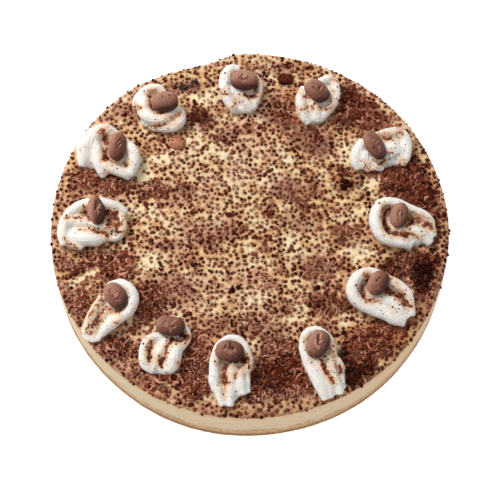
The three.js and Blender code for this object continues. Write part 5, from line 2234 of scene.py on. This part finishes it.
BEANS = (
    BeanPlan(81, 42, 20.3, 12.8, (-55, 0.6, 0.66), 0.92, strokes(
        (((-84.4, 57.3), (-87.4, 53)), 0.5, -1), (((-84.6, 53.6), (-87.2, 50.6)), 0.45, -0.8),
        (((-85, 55.2), (-86.5, 53.5)), 0.4, 0.8), (((-84.2, 52.6), (-85.6, 51)), 0.45, 0.8))),
    BeanPlan(8, -12, 17.5, 15.2, (-65, 0.9, 0.58), 0.78, strokes(
        (((-57.5, 89), (-58, 87.5)), 0.55, -0.8), (((-55.4, 88.1),), 0.5, -0.7),
        (((-52.8, 89.1),), 0.7, -0.9), (((-56.5, 87.8),), 0.5, 0.5), (((-53.9, 87.5),), 0.5, 0.5))),
    BeanPlan(-4, -14, 18, 15.6, (-85, 1.1, 0.6), 0.82, strokes(
        (((-7, 103.2), (-7.1, 101.8)), 0.55, -0.8), (((-2.7, 104.8), (-3.6, 103)), 0.8, 0.6),
        (((-4.8, 105.2), (-5.8, 102.5), (-4.5, 101.3), (-2.1, 101.6), (-0.8, 103.4)), 0.5, -0.9),
        (((-4.5, 99.5), (-2, 100.3)), 0.6, 0.5))),
    BeanPlan(-50, -16, 18.8, 14.2, (-55, 0.8, 0.55), 0.85, strokes(
        (((42.3, 95.5), (43.5, 94.8)), 0.65, -0.9), (((45.8, 93.8), (47.2, 96)), 0.65, -0.9),
        (((44, 95.2),), 0.5, 0.6), (((47.2, 93), (48.2, 95.2)), 0.5, 0.6), (((42.8, 98.2),), 0.7, -0.4),
        (((48, 91.4),), 0.6, -0.4))),
    BeanPlan(-66, -36, 22, 14.3, (-50, 0.6, 0.5), 0.95, strokes(
        (((81.9, 50.6),), 0.9, -1.3), (((81, 55.2), (82, 56.2)), 0.45, 0.7),
        (((83.2, 53.6), (84.8, 55.3)), 0.45, 0.7), (((82.2, 54.4),), 0.5, -0.7),
        (((84.2, 53.3),), 0.5, -0.7), (((85, 51.3), (85.7, 49)), 0.8, 0.6), (((85.2, 47.4),), 0.6, 0.5),
        (((83.6, 49.3),), 0.5, -0.6), (((86, 49.2),), 0.5, -0.6))),
    BeanPlan(84, -34, 17.5, 13, (-30, 0.6, 0.58), 0.95, strokes(
        (((97.2, 6), (95.6, 3.8), (95.3, 1)), 0.55, -0.9),
        (((98.3, 5.7), (99, 3.2), (98.4, 1.8)), 0.55, -0.9), (((97.9, 4.6), (96.7, 2.6)), 0.55, 0.8),
        (((95.9, 0.7),), 0.5, 0.6), (((96, -1),), 0.6, -0.8), (((97.2, -0.7),), 0.7, 0.6))),
    BeanPlan(60, -12, 17.5, 13, (-20, 0.8, 0.45), 0.9, strokes(
        (((83.2, -41.1), (81.1, -44)), 0.6, -0.9), (((83.4, -42.2), (81.6, -45.2)), 0.5, 0.4),
        (((81.7, -48.6),), 0.5, 0.4))),
    BeanPlan(67, -6, 18.8, 13.8, (-50, 0.7, 0.58), 0.88, strokes(
        (((43.4, -80.5), (43.1, -83.7), (43.4, -86.8)), 0.8, -1.3),
        (((45.2, -80), (44.5, -82.6)), 0.7, 1), (((41.9, -84.5), (40.9, -86.5)), 0.65, 1),
        (((45.4, -84.5), (44.1, -85.5)), 0.8, 1), (((42.4, -86.9), (41.9, -88.2)), 0.55, 0.9),
        (((43.8, -88.2), (43.3, -89.3)), 0.8, 0.9))),
    BeanPlan(-7, -4, 17.6, 14, (-35, 0.6, 0.45), 0.85, strokes(
        (((-11.8, -85.2), (-12.3, -89.1)), 0.6, -1.2), (((-14.5, -87.3), (-16, -89.4)), 0.55, -0.8),
        (((-13.5, -86.5), (-13.4, -88)), 0.5, 0.4), (((-10.3, -89.1),), 1.3, -1.2),
        (((-14, -89.6), (-15.7, -91.2)), 0.5, 0.8), (((-12.3, -91), (-13.5, -92.3)), 0.45, 0.8),
        (((-10.8, -91.5), (-12, -93.3)), 0.45, 0.8), (((-8.8, -90.1), (-9.3, -91.5)), 0.6, 0.8))),
    BeanPlan(-9, -16, 18.6, 13.6, (-40, 0.7, 0.42), 0.82, strokes(
        (((-52, -72.3), (-53.5, -74.2)), 0.5, 0.8), (((-51.3, -73.4), (-52.3, -75)), 0.45, 0.8),
        (((-53, -70.8),), 0.7, -0.8), (((-54.2, -73.1),), 0.6, -0.8),
        (((-46.3, -70.5), (-49, -72.9)), 0.6, 0.7), (((-48.5, -75), (-47.6, -74.5)), 0.6, -0.9),
        (((-48, -75.8), (-46.4, -75)), 0.5, 0.7), (((-49.3, -76), (-49.8, -78.7)), 0.5, 0.6))),
    BeanPlan(-57, 10, 19, 13, (-50, 0.9, 0.56), 0.95, strokes(
        (((-88.5, -50.5), (-83, -57.5)), 1.7, -0.45), (((-86.6, -49.9), (-87.9, -51)), 0.4, 1),
        (((-85.6, -51), (-87.6, -52.6)), 0.4, 1), (((-84.8, -52.3), (-86.3, -53.4)), 0.4, 1),
        (((-83.3, -52), (-85, -53.9)), 0.4, 1), (((-83.8, -53.6), (-85.5, -55)), 0.4, 1),
        (((-83.9, -57), (-84.4, -58)), 0.4, 0.8), (((-82, -56.6), (-82.4, -58)), 0.4, 0.8),
        (((-88.7, -50.2),), 0.6, -0.8), (((-87, -53.2), (-86.3, -52)), 0.4, -0.8))),
    BeanPlan(97, 44, 19.8, 13.2, (-25, 1.0, 0.64), 1.0, strokes(
        (((-98.9, 11.9), (-99.4, 6.3)), 0.9, -0.9), (((-96.5, 9.4), (-97.9, 6.6)), 0.8, 0.9),
        (((-96.2, 6.9),), 0.6, 0.8), (((-96.5, 4.2),), 0.45, 0.8),
        (((-99.6, 4.4), (-98.3, 5.2), (-97.5, 4), (-98, 2.7)), 0.45, 0.9), (((-98.6, 4.1),), 0.5, -1))),
)


@dataclass
class CoffeeBean:
    """A coffee bean of chocolate, with the cracks and bars of its crease."""

    number: int
    plan: BeanPlan
    along: int = 100
    around: int = 124
    thickness: float = 9.2
    marks_level: float = 55.0
    pit_depth: float = 0.75
    bar_height: float = 0.3
    swell: float = 0.2

    @property
    def node(self) -> str:
        """The name of the bean's solid."""
        return f"chocolate_bean_{self.number:02d}"

    def _lying(self) -> tuple[np.ndarray, np.ndarray]:
        """The plain bean's points where its solid lies, and the outward direction at each.

        Returns:
            The points, in mm, and the directions.
        """
        plan = self.plan
        turn, around = np.meshgrid(np.linspace(0, math.pi, self.along + 1)[1:-1],
                                   np.linspace(0, 2 * math.pi, self.around, endpoint=False),
                                   indexing="ij")
        girth = np.sin(turn) ** 0.92
        half = np.array([plan.length, plan.width, self.thickness]) / 2
        points = np.stack([-np.cos(turn), girth * np.cos(around), girth * np.sin(around)], -1)
        points = np.vstack([points.reshape(-1, 3), [[-1, 0, 0], [1, 0, 0]]]) * half
        out = points / half**2
        flat = points[:, :2] / half[:2]
        points[:, :2] = np.sign(flat) * np.abs(flat) ** plan.squareness * half[:2]
        out /= np.linalg.norm(out, axis=1, keepdims=True)
        low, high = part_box(self.node)
        return self._turned(points) + np.array((low + high) / 2 / MM), self._turned(out)

    def _turned(self, rows: np.ndarray) -> np.ndarray:
        """Leans and turns points or directions as the bean lies.

        Args:
            rows: Points or directions.

        Returns:
            The turned rows.
        """
        turn, lean = math.radians(self.plan.turn), math.radians(self.plan.lean)
        x, y, z = rows.T
        y, z = y * math.cos(lean) - z * math.sin(lean), y * math.sin(lean) + z * math.cos(lean)
        x, y = x * math.cos(turn) - y * math.sin(turn), x * math.sin(turn) + y * math.cos(turn)
        return np.stack([x, y, z], 1)

    def build(self, finish: Material) -> Object:
        """Makes the finished bean where its solid lies.

        Args:
            finish: The chocolate's material.

        Returns:
            The finished piece.
        """
        points, out = self._lying()
        seen = SIGHT.on_level(points, self.marks_level)
        upper = smooth_step(out[:, 2], 0.05, 0.35)
        pit, bar = np.zeros(len(points)), np.zeros(len(points))
        # Dents are painted dark as shade and raised bars pale as highlights.
        for mark in self.plan.marks:
            if mark.amount < 0:
                pit = np.maximum(pit, -mark.amount * mark.share(seen) * upper)
            else:
                bar = np.maximum(bar, mark.amount * mark.share(seen) * upper)
        height = self.bar_height * bar - self.pit_depth * pit
        height += self.swell * lattice_noise(points, 3.5, 140 + self.number)
        height += 0.1 * lattice_noise(points, 1.1, 160 + self.number)
        mesh = new_mesh(f"bean_{self.number:02d}", points + out * height[:, None],
                        stack_faces(self.along - 1, self.around))
        # Painted light: the bean is paler towards the light and darker in the shade's direction.
        toward, depth, middle = self.plan.shade
        toward = math.radians(toward)
        shaded = out[:, 0] * math.cos(toward) + out[:, 1] * math.sin(toward)
        store(mesh, "bloom", np.clip(middle - depth * shaded, 0, 1))
        store(mesh, "pit", np.clip(pit, 0, 1))
        store(mesh, "bar", np.clip(bar, 0, 1))
        mesh.materials.append(finish)
        shade_smooth(mesh)
        return finish_piece(show(mesh.name, mesh), "chocolate", self.node)


@dataclass
class ChocolateBit:
    """A bit of chocolate as big as a bean, half sunk in the cream."""

    number: int
    rounding: float
    pit_depth: float
    tone: float
    grain: float = 1.2
    fullness: float = 1.08
    ball_cuts: int = 5

    @property
    def node(self) -> str:
        """The name of the bit's solid."""
        return f"chocolate_bit_{self.number:02d}"

    def build(self, finish: Material) -> Object:
        """Makes the finished bit within its solid's box.

        Args:
            finish: The chocolate's material.

        Returns:
            The finished piece.
        """
        mesh = ball_mesh(f"bit_{self.number:02d}", self.ball_cuts, 1.0)
        ball = coordinates(mesh) * MM
        low, high = (np.array(corner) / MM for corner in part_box(self.node))
        half = np.array([(high - low)[0] / 2, (high - low)[1] / 2, high[2] - low[2]])
        blocky = self.fullness * np.sign(ball) * np.abs(ball) ** self.rounding
        points = blocky * half
        pits = smooth_step(lattice_noise(points, self.grain, 170 + self.number), 0.3, 0.6)
        points -= ball * (self.pit_depth * pits)[:, None]
        points += 0.25 * ball * lattice_noise(points, 3.0, 180 + self.number)[:, None]
        points += np.array([(low + high)[0] / 2, (low + high)[1] / 2, low[2]])
        points[:, 2] = np.maximum(points[:, 2], CAKE.top - 1.0)
        move_points(mesh, points)
        # Painted shade: the bit is darker in its dents.
        store(mesh, "tint", self.tone - 0.5 * pits)
        mesh.materials.append(finish)
        shade_smooth(mesh)
        return finish_piece(show(mesh.name, mesh), "grated_chocolate", self.node)


# ---- Stage --------------------------------------------------------------------------
@dataclass
class Stage:
    """A white floor, soft light from the upper left and the photograph's camera."""

    lens: float = 141.46
    shift: tuple[float, float] = (0.0012, -0.0203)
    key_power: float = 20.0
    key_size: float = 0.7
    key_place: tuple[float, float, float] = (-0.75, 0.55, 1.25)
    key_colour: Colour = (1.0, 0.98, 0.95)
    sky: float = 0.5
    sky_colour: Colour = (0.97, 0.985, 1.0)
    floor_reach: float = 3000.0
    floor_gap: float = 0.2

    def build(self) -> None:
        """Sets up floor, lights and camera."""
        self._floor()
        self._key()
        self._sky()
        self._camera()

    def _floor(self) -> None:
        """A wide floor just under the cake."""
        square = np.array([[-1, -1, 0], [1, -1, 0], [1, 1, 0], [-1, 1, 0]])
        corners = square * self.floor_reach - [0, 0, self.floor_gap]
        mesh = new_mesh("floor", corners, [(0, 1, 2, 3)])
        mesh.materials.append(FloorFinish().build())
        show("floor", mesh)

    def _key(self) -> None:
        """The main light, wide and soft."""
        light = bpy.data.lights.new("key", "AREA")
        light.size = self.key_size
        light.energy = self.key_power
        light.color = self.key_colour
        lamp = bpy.data.objects.new("key", light)
        lamp.location = self.key_place
        lamp.rotation_euler = (-Vector(self.key_place)).to_track_quat("-Z", "Y").to_euler()
        bpy.context.scene.collection.objects.link(lamp)

    def _sky(self) -> None:
        """Even light from all sides."""
        world = bpy.data.worlds.new("sky")
        world.use_nodes = True
        background = world.node_tree.nodes["Background"]
        background.inputs["Color"].default_value = (*self.sky_colour, 1.0)
        background.inputs["Strength"].default_value = self.sky
        bpy.context.scene.world = world
        bpy.context.scene.view_settings.view_transform = "Standard"

    def _camera(self) -> None:
        """The camera that took the photograph."""
        camera = bpy.data.cameras.new("camera")
        camera.lens = self.lens
        camera.shift_x, camera.shift_y = self.shift
        stand = bpy.data.objects.new("camera", camera)
        stand.location = SIGHT.place * MM
        stand.rotation_euler = (math.radians(90 - SIGHT.elevation), 0.0, 0.0)
        bpy.context.scene.collection.objects.link(stand)
        bpy.context.scene.camera = stand


def main() -> None:
    """Builds the cake piece by piece."""
    logging.basicConfig(level=logging.INFO, format="%(name)s: %(message)s")
    Stage().build()
    SpongeBase().build(SpongeFinish().build())
    layer = CoffeeCream().build(CoffeeCreamFinish().build())
    whipped = WhippedCreamFinish().build()
    piping = RopePiping(whipped)
    swirls = [PipedSwirl(number, plan) for number, plan in enumerate(SWIRLS, 1)]
    creams = [swirl.build(piping, whipped).data for swirl in swirls]
    chocolate = BeanFinish().build()
    for number, plan in enumerate(BEANS, 1):
        CoffeeBean(number, plan).build(chocolate)
    grated = GratedFinish().build()
    bits = (ChocolateBit(1, 0.9, 0.5, 0.84), ChocolateBit(2, 0.6, 0.6, 0.26))
    for bit in bits:
        bit.build(grated)
    standing = tuple(piece.node for piece in (*swirls, *bits))
    strewer = Strewer()
    GratedChocolate(strewer, standing).build(layer.data, grated)
    specks = strewer.strew(joined(creams, SWIRL_SPECKS.field), SWIRL_SPECKS, grated)
    finish_piece(show(specks.name, specks), "grated_chocolate")
    LargeShreds().build([skin_of(name) for name in standing], grated)


if __name__ == "__main__":
    main()
